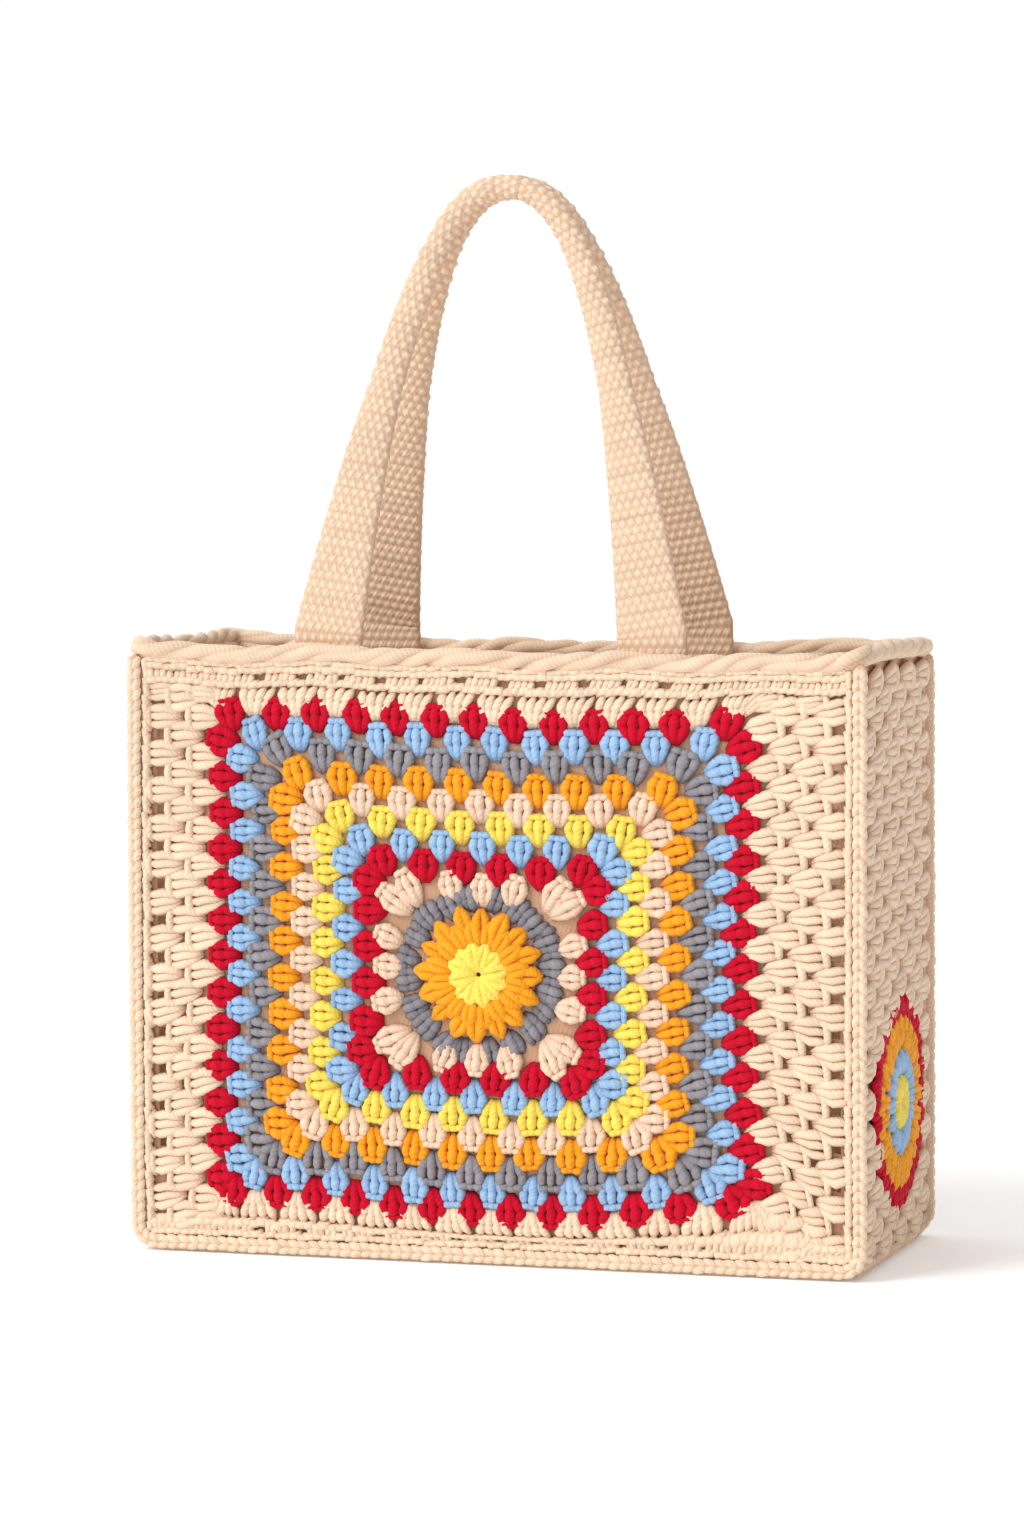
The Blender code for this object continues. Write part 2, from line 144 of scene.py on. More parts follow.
@dataclass(frozen=True)
class Wall:
    """Plane of a wall, turned about the upright axis and set out from it."""

    turn: float
    offset: float

    def place(self, panel: Array) -> Array:
        """Turns (u, v, w) of the wall into x, y, z: y is minus (offset + w) before the turn.

        Args:
            panel: Array whose last axis is u, v, w.

        Returns:
            Array of the same shape in the slack form.
        """
        u, v, w = panel[..., 0], panel[..., 1], panel[..., 2]
        y = -(self.offset + w)
        c, s = math.cos(self.turn), math.sin(self.turn)
        return BAG.carry(np.stack([c * u - s * y, s * u + c * y, v], axis=-1))


@dataclass(frozen=True)
class Drift:
    """How far the hand-worked square strays from an even one, in the wall's plane.

    Each shift is a sum of s**row * t**column times the table's value in millimetres, where s and t
    run from -1 to 1 over the square and are held within the fitted share of it. The shift fades
    to nothing outside the square.
    """

    half_width: float = 0.150
    half_height: float = 0.135
    middle_height: float = 0.157
    fade_across: float = 0.032
    fade_upward: float = 0.010
    fitted_share: float = 0.94
    across: tuple[tuple[float, ...], ...] = (
        (-2.63, 5.07, -3.86, -5.76, 2.73),
        (-5.64, 0.29, 2.78, -0.64, 0.0),
        (-0.79, -2.75, 3.14, 0.0, 0.0),
        (4.80, -1.75, 0.0, 0.0, 0.0),
        (2.71, 0.0, 0.0, 0.0, 0.0),
    )
    upward: tuple[tuple[float, ...], ...] = (
        (-2.85, -2.55, -1.65, 4.15, 2.00),
        (-4.71, -1.83, 1.31, 0.82, 0.0),
        (8.72, -4.69, -0.30, 0.0, 0.0),
        (6.99, -1.25, 0.0, 0.0, 0.0),
        (-1.58, 0.0, 0.0, 0.0, 0.0),
    )

    def shifted(self, panel: Array) -> Array:
        """Points (u, v, w) of the wall after the shift."""
        s, t = panel[..., 0] / self.half_width, (panel[..., 1] - self.middle_height) / self.half_height
        beyond_u = (np.abs(panel[..., 0]) - self.half_width) / self.fade_across
        beyond_v = (np.abs(panel[..., 1] - self.middle_height) - self.half_height) / self.fade_upward
        share = (1 - np.clip(beyond_u, 0, 1)) * (1 - np.clip(beyond_v, 0, 1))
        s, t = (np.clip(value, -self.fitted_share, self.fitted_share) for value in (s, t))
        du = np.polynomial.polynomial.polyval2d(s, t, np.array(self.across)) * MM
        dv = np.polynomial.polynomial.polyval2d(s, t, np.array(self.upward)) * MM
        moved = panel.copy()
        moved[..., 0] += du * share
        moved[..., 1] += dv * share
        return moved


DRIFT = Drift()


@dataclass
class Surface:
    """Faces and their values, before they become a mesh."""

    points: Array
    quads: Array
    triangles: Array
    quad_uv: Array
    triangle_uv: Array
    # Lit share of the painted shade at each point, 0 shaded and 1 lit.
    depth: Array
    tone: Array

    @staticmethod
    def joined(parts: list[Surface]) -> Surface:
        """Joins surfaces into one, with the faces counted on."""
        starts = np.cumsum([0] + [len(part.points) for part in parts])
        counted = [
            replace(part, quads=part.quads + start, triangles=part.triangles + start)
            for part, start in zip(parts, starts)
        ]
        names = [item.name for item in fields(Surface)]
        return Surface(*[np.concatenate([getattr(part, name) for part in counted]) for name in names])

    def placed(self, wall: Wall, drift: Drift | None = None) -> Surface:
        """The same surface, carried from its wall's plane to the bag, after a drift if there is one."""
        return replace(self, points=wall.place(drift.shifted(self.points) if drift else self.points))

    def object(self, name: str) -> bpy.types.Object:
        """Puts the surface into a smooth mesh object at the origin.

        Args:
            name: Name of the mesh and of the object.

        Returns:
            The linked object, with a UV map along its strands and the depth and tone values.
        """
        mesh = bpy.data.meshes.new(name)
        quads, triangles = len(self.quads), len(self.triangles)
        corners = np.concatenate([self.quads.ravel(), self.triangles.ravel()])
        starts = np.concatenate([np.arange(quads) * 4, quads * 4 + np.arange(triangles) * 3])
        mesh.vertices.add(len(self.points))
        mesh.vertices.foreach_set("co", self.points.astype(np.float32).ravel())
        mesh.loops.add(len(corners))
        mesh.loops.foreach_set("vertex_index", corners.astype(np.int32))
        mesh.polygons.add(quads + triangles)
        mesh.polygons.foreach_set("loop_start", starts.astype(np.int32))
        mesh.polygons.foreach_set("use_smooth", np.ones(quads + triangles, dtype=bool))
        uv = np.concatenate([self.quad_uv.ravel(), self.triangle_uv.ravel()])
        mesh.uv_layers.new(name="strand").data.foreach_set("uv", uv.astype(np.float32))
        for key, values in (("depth", self.depth), ("tone", self.tone)):
            layer = mesh.attributes.new(key, "FLOAT", "POINT")
            layer.data.foreach_set("value", values.astype(np.float32))
        mesh.update(calc_edges=True)
        mesh.validate()
        piece = bpy.data.objects.new(name, mesh)
        bpy.context.scene.collection.objects.link(piece)
        return piece


def unit(vectors: Array) -> Array:
    """Vectors scaled to length one along the last axis."""
    return vectors / np.maximum(np.linalg.norm(vectors, axis=-1, keepdims=True), 1e-9)


@dataclass(frozen=True)
class PaintedShadeRange:
    """Heights between which a strand's painted shade turns from shaded to lit."""

    low: float
    high: float

    def share(self, heights: Array) -> Array:
        """0 at and under low, 1 at and over high."""
        return np.clip((heights - self.low) / (self.high - self.low), 0, 1)


# Heights of the painted shade: stitches and chains are darker low in the work and lit near their tops.
STITCH_SHADE = PaintedShadeRange(-4.2 * MM, 1.2 * MM)
CHAIN_SHADE = PaintedShadeRange(-1.6 * MM, 2.4 * MM)


def tubes(
    paths: Array,
    radii: Array,
    rng: np.random.Generator,
    sides: int = STRAND_SIDES,
    outward: Array | None = None,
    closed: bool = False,
    depth: Array | None = None,
) -> Surface:
    """Round strands along many paths at once.

    A ring at each path point is centre + radius * (cos a * side + sin a * out), where side is
    the path's direction crossed with outward. Open strands end in one pole each.

    Args:
        paths: Strand points, (strands, points, 3).
        radii: Strand radius at each point, (strands, points).
        rng: Source of each strand's tone.
        sides: Points round a strand.
        outward: Direction that faces out of the work, the last axis by itself where not given.
        closed: Whether each path joins its own start.
        depth: Lit share of the painted shade at each ring point, worked out from the last coordinate where
            not given.

    Returns:
        The strands as one surface.
    """
    count, steps = radii.shape
    if outward is None:
        outward = np.array([0.0, 0.0, 1.0])
    if closed:
        along = unit(np.roll(paths, -1, axis=1) - np.roll(paths, 1, axis=1))
    else:
        along = unit(np.gradient(paths, axis=1))
    side = unit(np.cross(along, outward))
    out = np.cross(side, along)
    angle = TURN * np.arange(sides) / sides
    spoke = side[:, :, None] * np.cos(angle)[:, None] + out[:, :, None] * np.sin(angle)[:, None]
    rings = paths[:, :, None] + radii[:, :, None, None] * spoke
    reach = np.linalg.norm(np.diff(paths, axis=1), axis=-1)
    length = np.concatenate([np.zeros((count, 1)), np.cumsum(reach, axis=1)], axis=1) / MM
    rows = steps if closed else steps - 1
    strand, row, spot = np.meshgrid(np.arange(count), np.arange(rows), np.arange(sides), indexing="ij")
    base = strand * steps * sides
    after_row, after_spot = (row + 1) % steps, (spot + 1) % sides
    corners = ((row, spot), (after_row, spot), (after_row, after_spot), (row, after_spot))
    quads = np.stack([base + r * sides + s for r, s in corners], axis=-1).reshape(-1, 4)
    start = length[strand, row]
    stop = start + reach.mean() / MM if closed else length[strand, row + 1]
    low, high = spot / sides, (spot + 1) / sides
    pairs = ((start, low), (stop, low), (stop, high), (start, high))
    quad_uv = np.stack([np.stack(pair, axis=-1) for pair in pairs], axis=-2).reshape(-1, 4, 2)
    points = rings.reshape(-1, 3)
    # Painted shade: strand points are coloured darker the lower they lie.
    if depth is None:
        depth = STITCH_SHADE.share(points[:, 2])
    tone = np.repeat(rng.uniform(-1, 1, count), steps * sides)
    triangles = np.zeros((0, 3), dtype=int)
    triangle_uv = np.zeros((0, 3, 2))
    if not closed:
        first = paths[:, 0] - along[:, 0] * radii[:, :1] * POLE_REACH
        last = paths[:, -1] + along[:, -1] * radii[:, -1:] * POLE_REACH
        poles = len(points) + np.arange(count * 2).reshape(2, count, 1)
        spots = np.arange(sides)[None]
        begin = np.arange(count)[:, None] * steps * sides
        finish = begin + (steps - 1) * sides
        after = (spots + 1) % sides
        blank = np.zeros_like(begin + spots)
        one = np.stack([poles[0] + blank, begin + spots, begin + after], axis=-1)
        two = np.stack([poles[1] + blank, finish + after, finish + spots], axis=-1)
        triangles = np.concatenate([one.reshape(-1, 3), two.reshape(-1, 3)])
        triangle_uv = np.zeros((len(triangles), 3, 2))
        triangle_uv[..., 0] = np.concatenate([length[:, :1] + blank, length[:, -1:] + blank]).reshape(-1, 1)
        triangle_uv[..., 1] = (np.tile(spots / sides, (2 * count, 1))).reshape(-1, 1)
        points = np.concatenate([points, first, last])
        by_ring = depth.reshape(count, steps, sides).mean(axis=2)
        depth = np.concatenate([depth, by_ring[:, 0], by_ring[:, -1]])
        by_strand = tone.reshape(count, -1)[:, 0]
        tone = np.concatenate([tone, by_strand, by_strand])
    return Surface(points, quads, triangles, quad_uv, triangle_uv, depth, tone)


@dataclass
class Template:
    """A few strands of one stitch, in millimetres: a across, b outward, w up, and the radius."""

    strands: list[list[tuple[float, float, float, float]]]

    def arrays(self) -> tuple[Array, Array]:
        """Paths (strands, points, 3) and radii (strands, points), in metres."""
        table = np.array(self.strands) * MM
        return table[..., :3], table[..., 3]


@dataclass(frozen=True)
class Cluster:
    """Form of a cluster of posts: half widths at its tip, waist and top, in millimetres."""

    posts: int
    tip: float
    waist: float
    top: float
    radius: float
    lobes: int

    def template(self) -> Template:
        """Strands of a cluster whose outer end lies at b = 0 and whose tip lies at b = -18.

        Each post is a lower strand that fans out from the tip and a plump upper one that leans
        back in to the top; lobes of the chain close the outer end.
        """
        r, strands = self.radius, []
        for i in np.linspace(-1, 1, self.posts):
            drop = 0.9 * abs(i)
            strands.append([
                (self.tip * i, -17.2, -3.6, 0.55 * r),
                ((0.6 * self.tip + 0.4 * self.waist) * i, -14.0, -1.9 - drop, 0.88 * r),
                ((0.2 * self.tip + 0.8 * self.waist) * i, -10.8, -1.0 - drop, 0.95 * r),
                (self.waist * i, -8.0, -1.2 - drop, 0.7 * r),
            ])
            strands.append([
                (self.waist * i - 0.5, -10.2, -1.5 - drop, 0.7 * r),
                (self.waist * i - 0.1, -7.6, -0.8 - drop, r),
                ((0.4 * self.waist + 0.6 * self.top) * i + 0.2, -4.9, -0.8 - drop, 0.95 * r),
                (self.top * i + 0.4, -2.6, -1.8 - drop, 0.6 * r),
            ])
        pitch = 2 * (self.top + 0.7) / max(1, self.lobes)
        for k in range(self.lobes):
            start = -(self.top + 0.9) + k * pitch
            strands.append([
                (start, -2.7, -2.4, 1.2),
                (start + 0.3 * pitch, -1.8, -1.0, 1.8),
                (start + 0.8 * pitch, -1.6, -0.9, 1.8),
                (start + 1.2 * pitch, -2.5, -2.3, 1.2),
            ])
        return Template(strands)


def bundle_template() -> Template:
    """Three strands side by side that lean together at the tip, closed by a post across the end."""
    strands = []
    for i in (-1.0, 0.0, 1.0):
        strands.append([
            (1.6 * i + 0.2, -19.2, -3.4, 1.3),
            (3.4 * i - 0.3, -14.8, -1.7, 2.4),
            (4.5 * i + 0.3, -9.8, -1.3, 2.75),
            (4.7 * i - 0.2, -5.2, -1.4, 2.55),
            (4.2 * i + 0.2, -1.6, -2.2, 1.7),
        ])
    strands.append([(-6.8, -1.8, -2.8, 1.4), (-3.6, -0.8, -1.1, 2.0), (0.0, -0.4, -0.7, 2.1),
                    (3.6, -0.8, -1.1, 2.0), (6.8, -1.8, -2.8, 1.4)])
    return Template(strands)


def petal_template(length: float, spread: float, radius: float, lift: float = 0.0) -> Template:
    """Two strands that part from a narrow foot and meet again in a point at b = 0."""
    strands = []
    for hand in (-1, 1):
        strands.append([
            (0.30 * spread * hand, -length, -2.6 + lift, 0.6 * radius),
            (0.75 * spread * hand, -0.66 * length, -1.2 + lift, radius),
            (0.80 * spread * hand, -0.34 * length, -1.0 + lift, 0.95 * radius),
            (0.12 * spread * hand, -0.04 * length, -2.0 + lift, 0.55 * radius),
        ])
    return Template(strands)


@dataclass
class Seats:
    """Where stitches go on a wall: outer ends, outward directions and scales."""

    ends: list[tuple[float, float]] = field(default_factory=list)
    angles: list[float] = field(default_factory=list)
    widths: list[float] = field(default_factory=list)
    lengths: list[float] = field(default_factory=list)

    def add(self, u: float, v: float, angle: float, width: float = 1.0, length: float = 1.0) -> None:
        """Adds one seat, its angle in radians from the u axis."""
        self.ends.append((u, v))
        self.angles.append(angle)
        self.widths.append(width)
        self.lengths.append(length)


@dataclass(frozen=True)
class Unevenness:
    """Spread of the differences between stitches: turn in radians, lengths in metres, the rest shares."""

    turn: float = 0.045
    place: float = 0.00035
    width: float = 0.035
    length: float = 0.025
    strand: float = 0.00012
    route_strand: float = 0.00014
    height: float = 0.0002
    thickness: float = 0.05


HAND = Unevenness()


def stitched(template: Template, seats: Seats, rng: np.random.Generator, lift: float = 0.0,
             wobble: float = 1.0) -> Surface:
    """Repeats a stitch on its seats.

    A point (a, b, w) goes to end + a * across + b * outward, with w kept, where outward is the
    seat's direction and across lies clockwise of it. Each stitch is a little off in place, turn
    and size, and each strand in thickness.

    Args:
        template: The stitch.
        seats: Its places.
        rng: Source of the small differences.
        lift: Height added to all of it.
        wobble: Scale of the differences.

    Returns:
        All stitches as one surface on the wall's plane.
    """
    paths, radii = template.arrays()
    count, strands = len(seats.ends), len(paths)
    angle = np.array(seats.angles) + rng.normal(0, HAND.turn * wobble, count)
    ends = np.array(seats.ends) + rng.normal(0, HAND.place * wobble, (count, 2))
    wide = np.array(seats.widths) * (1 + rng.normal(0, HAND.width * wobble, count))
    long = np.array(seats.lengths) * (1 + rng.normal(0, HAND.length * wobble, count))
    local = np.tile(paths[None], (count, 1, 1, 1))
    local = local + rng.normal(0, HAND.strand * wobble, (count, strands, 1, 3))
    a = local[..., 0] * wide.reshape(count, 1, 1)
    b = local[..., 1] * long.reshape(count, 1, 1)
    cos, sin = np.cos(angle).reshape(count, 1, 1), np.sin(angle).reshape(count, 1, 1)
    u = ends[:, 0].reshape(count, 1, 1) + a * sin + b * cos
    v = ends[:, 1].reshape(count, 1, 1) - a * cos + b * sin
    w = local[..., 2] + lift + rng.normal(0, HAND.height * wobble, (count, 1, 1))
    plump = 1 + rng.normal(0, HAND.thickness * wobble, (count, strands, 1))
    thick = radii[None] * plump * np.sqrt(wide).reshape(count, 1, 1)
    placed = np.stack([u, v, w], axis=-1).reshape(count * strands, -1, 3)
    return tubes(placed, thick.reshape(count * strands, -1), rng)


def four_sided(points: Array, quads: Array, quad_uv: Array, depth: Array, tone: Array) -> Surface:
    """A surface without triangles."""
    return Surface(points, quads, np.zeros((0, 3), int), quad_uv, np.zeros((0, 3, 2)), depth, tone)


def pierced_plate(u_lines: Array, v_lines: Array, holes: Array, low: float, high: float) -> Surface:
    """A plate on lines of u and v, with the cells that holes cover left out.

    Its inner face bulges by a half wave of the height for each crochet row, with painted shade in the
    grooves and painted light on the rows; its outer face is painted almost wholly in the shaded colour.

    Args:
        u_lines: Rising u values of the grid lines.
        v_lines: Rising v values of the grid lines.
        holes: Boxes (count, 4) as lowest u, highest u, lowest v, highest v.
        low: Height of the plate's inner face.
        high: Height of its outer face.

    Returns:
        A closed surface with walls round its edge and round each hole.
    """
    u_mid, v_mid = (u_lines[1:] + u_lines[:-1]) / 2, (v_lines[1:] + v_lines[:-1]) / 2
    solid = np.ones((len(u_mid), len(v_mid)), dtype=bool)
    if len(holes):
        inside_u = (u_mid[:, None] > holes[:, 0]) & (u_mid[:, None] < holes[:, 1])
        inside_v = (v_mid[:, None] > holes[:, 2]) & (v_mid[:, None] < holes[:, 3])
        solid = ~np.any(inside_u[:, None] & inside_v[None], axis=2)
    grid_u, grid_v = np.meshgrid(u_lines, v_lines, indexing="ij")
    rows = INNER_ROW_RELIEF * np.abs(np.cos(np.pi * grid_v / INNER_ROW))
    levels = [np.stack([grid_u, grid_v, w], axis=-1) for w in (low - rows, np.full_like(grid_u, high))]
    # Painted shade: the inner face is darker in the grooves between rows, and the outer face is near the
    # shaded colour.
    row_light = INNER_GROOVE_LIGHT + INNER_ROW_LIGHT * rows / INNER_ROW_RELIEF
    shade = np.stack([row_light, np.full_like(grid_u, PLATE_LIGHT)]).ravel()
    points = np.stack(levels).reshape(-1, 3)
    columns, layer = len(v_lines), grid_u.size
    i, j = np.nonzero(solid)

    def at(row: Array, column: Array, level: int) -> Array:
        """Numbers of the points at rows and columns of a level, 0 inner and 1 outer."""
        return level * layer + row * columns + column

    faces = [np.stack([at(i, j, 1), at(i + 1, j, 1), at(i + 1, j + 1, 1), at(i, j + 1, 1)], axis=-1)]
    faces.append(np.stack([at(i, j, 0), at(i, j + 1, 0), at(i + 1, j + 1, 0), at(i + 1, j, 0)], axis=-1))
    padded = np.pad(solid, 1)
    sides = (
        (~padded[:-2, 1:-1], (0, 1), (0, 0)),
        (~padded[2:, 1:-1], (1, 0), (1, 1)),
        (~padded[1:-1, :-2], (0, 0), (1, 0)),
        (~padded[1:-1, 2:], (1, 1), (0, 1)),
    )
    for open_side, (i1, j1), (i2, j2) in sides:
        r, c = np.nonzero(solid & open_side)
        first, second = (r + i1, c + j1), (r + i2, c + j2)
        faces.append(np.stack([at(*first, 0), at(*second, 0), at(*second, 1), at(*first, 1)], axis=-1))
    quads = np.concatenate(faces)
    used, quads = np.unique(quads, return_inverse=True)
    points, quads = points[used], quads.reshape(-1, 4)
    lean = np.abs(np.mod(points[:, 1] / INNER_ROW, 2) - 1)
    strand = np.stack([np.zeros(len(points)), (points[:, 0] / INNER_STITCH + lean) / 3], axis=-1)
    return four_sided(points, quads, strand[quads], shade[used], np.zeros(len(points)))


@dataclass
class Route:
    """A line with an outward direction at each point, read by the length along it."""

    points: Array
    outward: Array
    closed: bool = False

    def __post_init__(self) -> None:
        """Works out lengths and directions once."""
        points = self.points
        if self.closed:
            points = np.concatenate([points, points[:1]])
            self.outward = np.concatenate([self.outward, self.outward[:1]])
            along = unit(np.roll(self.points, -1, axis=0) - np.roll(self.points, 1, axis=0))
            self.along = np.concatenate([along, along[:1]])
        else:
            self.along = unit(np.gradient(points, axis=0))
        self.knots = points
        steps = np.linalg.norm(np.diff(points, axis=0), axis=1)
        self.marks = np.concatenate([[0], np.cumsum(steps)])
        self.length = float(self.marks[-1])

    def at(self, s: Array) -> tuple[Array, Array, Array]:
        """Point, sideways and outward directions at lengths s along the route."""
        if self.closed:
            s = np.mod(s, self.length)

        def read(table: Array) -> Array:
            """A table's values at the lengths."""
            return np.stack([np.interp(s, self.marks, table[:, k]) for k in range(3)], axis=-1)

        along = unit(read(self.along))
        side = unit(np.cross(along, read(self.outward)))
        return read(self.knots), side, np.cross(side, along)

    def point(self, along: Array, across: Array, out: Array) -> Array:
        """Points given by length along, distance to the side and distance out."""
        middle, side, outward = self.at(along)
        return middle + side * across[..., None] + outward * out[..., None]


def route_stitches(route: Route, template: Template, rng: np.random.Generator) -> Surface:
    """Repeats a stitch along an open route: a runs across it, b along it and w out of it."""
    paths, radii = template.arrays()
    count = max(1, round(route.length / CHAIN_SPACING))
    share = (np.arange(count) + 0.5) * route.length / count
    local = np.tile(paths[None], (count, 1, 1, 1))
    local = local + rng.normal(0, HAND.route_strand, (count, len(paths), 1, 3))
    s = np.clip(share[:, None, None] + local[..., 1], 0, route.length)
    spots = route.point(s, local[..., 0], local[..., 2])
    _, _, outward = route.at(s)
    shape = (count * len(paths), -1)
    plump = 1 + rng.normal(0, HAND.thickness, (count, len(paths), 1))
    thick = np.tile(radii[None], (count, 1, 1)) * plump
    surface = tubes(spots.reshape(*shape, 3), thick.reshape(shape), rng, outward=outward.reshape(*shape, 3))
    # Painted shade on chain lobes: darker where they dip into the work.
    lit = CHAIN_SHADE.share(local[..., 2].reshape(shape))
    rings = np.repeat(lit.ravel(), STRAND_SIDES)
    surface.depth = np.concatenate([rings, lit[:, 0], lit[:, -1]])
    return surface


def chain_lobe(across: float, height: float, slant: int) -> Template:
    """Strand of a chain stitch that crosses its route on a slant, at a place across and a height."""
    return Template([[
        (across - 1.0 * slant, -3.6, height - 1.0, 1.4),
        (across - 0.3 * slant, -1.1, height - 0.1, 2.1),
        (across + 0.4 * slant, 1.0, height - 0.1, 2.1),
        (across + 1.0 * slant, 3.6, height - 1.0, 1.4),
    ]])


def chain_rows(route: Route, apart: float, height: float, rng: np.random.Generator) -> list[Surface]:
    """Two rows of chain lobes along a route, one to each side of it, that slant against each other."""
    return [route_stitches(route, chain_lobe(hand * apart, height, -hand), rng) for hand in (-1, 1)]


class Nodes:
    """Short way to add shader nodes and link them."""

    def __init__(self, material: bpy.types.Material) -> None:
        """Starts from the material's empty tree with a Principled shader and an output."""
        material.use_nodes = True
        self.tree = material.node_tree
        self.tree.nodes.clear()
        self.shader = self.add("ShaderNodeBsdfPrincipled")
        output = self.add("ShaderNodeOutputMaterial")
        self.link(self.shader.outputs["BSDF"], output.inputs["Surface"])

    def add(self, kind: str, **settings: object) -> bpy.types.Node:
        """Adds a node, with settings given as its properties."""
        node = self.tree.nodes.new(kind)
        for key, value in settings.items():
            setattr(node, key, value)
        return node

    def link(self, source: bpy.types.NodeSocket, target: bpy.types.NodeSocket) -> None:
        """Links an output to an input."""
        self.tree.links.new(source, target)

    def feed(self, sockets: object, *values: object) -> None:
        """Gives each input its value: a number, a colour or an output to link."""
        for socket, value in zip(sockets, values):
            if isinstance(value, bpy.types.NodeSocket):
                self.link(value, socket)
            else:
                socket.default_value = value

    def math(self, operation: str, first: object, second: object = 0.0) -> bpy.types.NodeSocket:
        """A Math node on sockets or numbers, without a clamp."""
        node = self.add("ShaderNodeMath", operation=operation)
        self.feed(node.inputs, first, second)
        return node.outputs[0]

    def mix(self, share: object, first: object, second: object) -> bpy.types.NodeSocket:
        """Mixes two colours by a share."""
        node = self.add("ShaderNodeMix", data_type="RGBA")
        self.feed((node.inputs[0], node.inputs[6], node.inputs[7]), share, first, second)
        return node.outputs[2]

    def noise(self, place: bpy.types.NodeSocket, scale: float, detail: float) -> bpy.types.NodeSocket:
        """A noise texture read at a place."""
        node = self.add("ShaderNodeTexNoise")
        node.inputs["Scale"].default_value = scale
        node.inputs["Detail"].default_value = detail
        self.link(place, node.inputs["Vector"])
        return node.outputs[0]

    def dull(self, roughness: float, specular: float) -> None:
        """Sets how rough the surface is and how little it mirrors."""
        self.shader.inputs["Roughness"].default_value = roughness
        self.shader.inputs["Specular IOR Level"].default_value = specular


def linear(colour: Colour) -> tuple[float, float, float, float]:
    """Display colour from 0 to 255 as the linear values that a shader takes."""
    values = [c / 255 for c in colour]
    return (*[v / 12.92 if v <= 0.04045 else ((v + 0.055) / 1.055) ** 2.4 for v in values], 1.0)


@dataclass(frozen=True)
class YarnFinish:
    """Matt acrylic yarn: ply ridges, loose fibres, dye variation, painted shade in creases and painted light
    and shade along the plies.
    """

    colour: Colour
    crease_shade: Colour
    ply_bump: float = 0.35
    fibre_bump: float = 0.30
    roughness: float = 0.88
    specular: float = 0.2
    sheen: float = 0.15
    sheen_roughness: float = 0.5
    plies: float = 3.0
    ridge_spacing: float = 2.4
    ridge_light: float = 0.055
    fibre_scale: float = 1500.0
    dye_scale: float = 160.0
    dye_light: float = 0.16
    tone_light: float = 0.045
    least_light: float = 0.93
    crease_shade_power: float = 0.7
    bump_strength: float = 0.6
    bump_distance: float = 0.45 * MM

    def material(self, name: str) -> bpy.types.Material:
        """Builds the material.

        The ply ridge is a sine with three plies round the strand and a ridge each 2.4 mm along it.
        The colour goes from the painted crease shade to the yarn's by a power of the depth value, the
        lit share, and varies by painted light and shade along the ridge, the strand's tone and a soft noise
        of the dye.
        """
        material = bpy.data.materials.new(name)
        nodes = Nodes(material)
        uv = nodes.add("ShaderNodeUVMap", uv_map="strand")
        split = nodes.add("ShaderNodeSeparateXYZ")
        nodes.link(uv.outputs[0], split.inputs[0])
        turn = nodes.math("MULTIPLY", split.outputs[1], self.plies)
        lay = nodes.math("MULTIPLY", split.outputs[0], 1 / self.ridge_spacing)
        ridge = nodes.math("SINE", nodes.math("MULTIPLY", nodes.math("ADD", turn, lay), TURN))
        place = nodes.add("ShaderNodeTexCoord").outputs["Object"]
        fibre = nodes.noise(place, self.fibre_scale, 2.0)
        height = nodes.math("MULTIPLY", ridge, self.ply_bump)
        height = nodes.math("ADD", height, nodes.math("MULTIPLY", fibre, self.fibre_bump * 2))
        bump = nodes.add("ShaderNodeBump")
        bump.inputs["Strength"].default_value = self.bump_strength
        bump.inputs["Distance"].default_value = self.bump_distance
        nodes.link(height, bump.inputs["Height"])
        nodes.link(bump.outputs[0], nodes.shader.inputs["Normal"])
        # Painted shade: a low depth value turns the colour to the shaded crease colour.
        depth = nodes.add("ShaderNodeAttribute", attribute_name="depth").outputs["Fac"]
        tone = nodes.add("ShaderNodeAttribute", attribute_name="tone").outputs["Fac"]
        dye = nodes.noise(place, self.dye_scale, 1.0)
        lit = nodes.math("POWER", depth, self.crease_shade_power)
        base = nodes.mix(lit, linear(self.crease_shade), linear(self.colour))
        change = nodes.math("MULTIPLY", tone, self.tone_light)
        change = nodes.math("ADD", change, nodes.math("MULTIPLY", dye, self.dye_light))
        gain = nodes.math("ADD", change, self.least_light)
        # Painted light and shade along the plies: lighter on each ridge and darker between them.
        gain = nodes.math("ADD", gain, nodes.math("MULTIPLY", ridge, self.ridge_light))
        scale = nodes.add("ShaderNodeVectorMath", operation="SCALE")
        nodes.link(base, scale.inputs[0])
        nodes.link(gain, scale.inputs[3])
        nodes.link(scale.outputs[0], nodes.shader.inputs["Base Color"])
        nodes.dull(self.roughness, self.specular)
        nodes.shader.inputs["Sheen Weight"].default_value = self.sheen
        nodes.shader.inputs["Sheen Roughness"].default_value = self.sheen_roughness
        return material


# Each yarn's own colour, then the painted shade colour of its creases.
FINISHES = {
    Yarn.BEIGE: YarnFinish((243, 217, 189), (196, 150, 118)),
    Yarn.CREAM: YarnFinish((243, 212, 185), (196, 148, 120)),
    Yarn.RED: YarnFinish((205, 3, 42), (158, 0, 30), sheen=0.05),
    Yarn.SKY: YarnFinish((160, 194, 228), (82, 114, 162)),
    Yarn.GREY: YarnFinish((152, 148, 153), (72, 66, 76)),
    Yarn.ORANGE: YarnFinish((248, 166, 30), (205, 104, 10)),
    Yarn.YELLOW: YarnFinish((250, 226, 98), (214, 160, 48)),
}


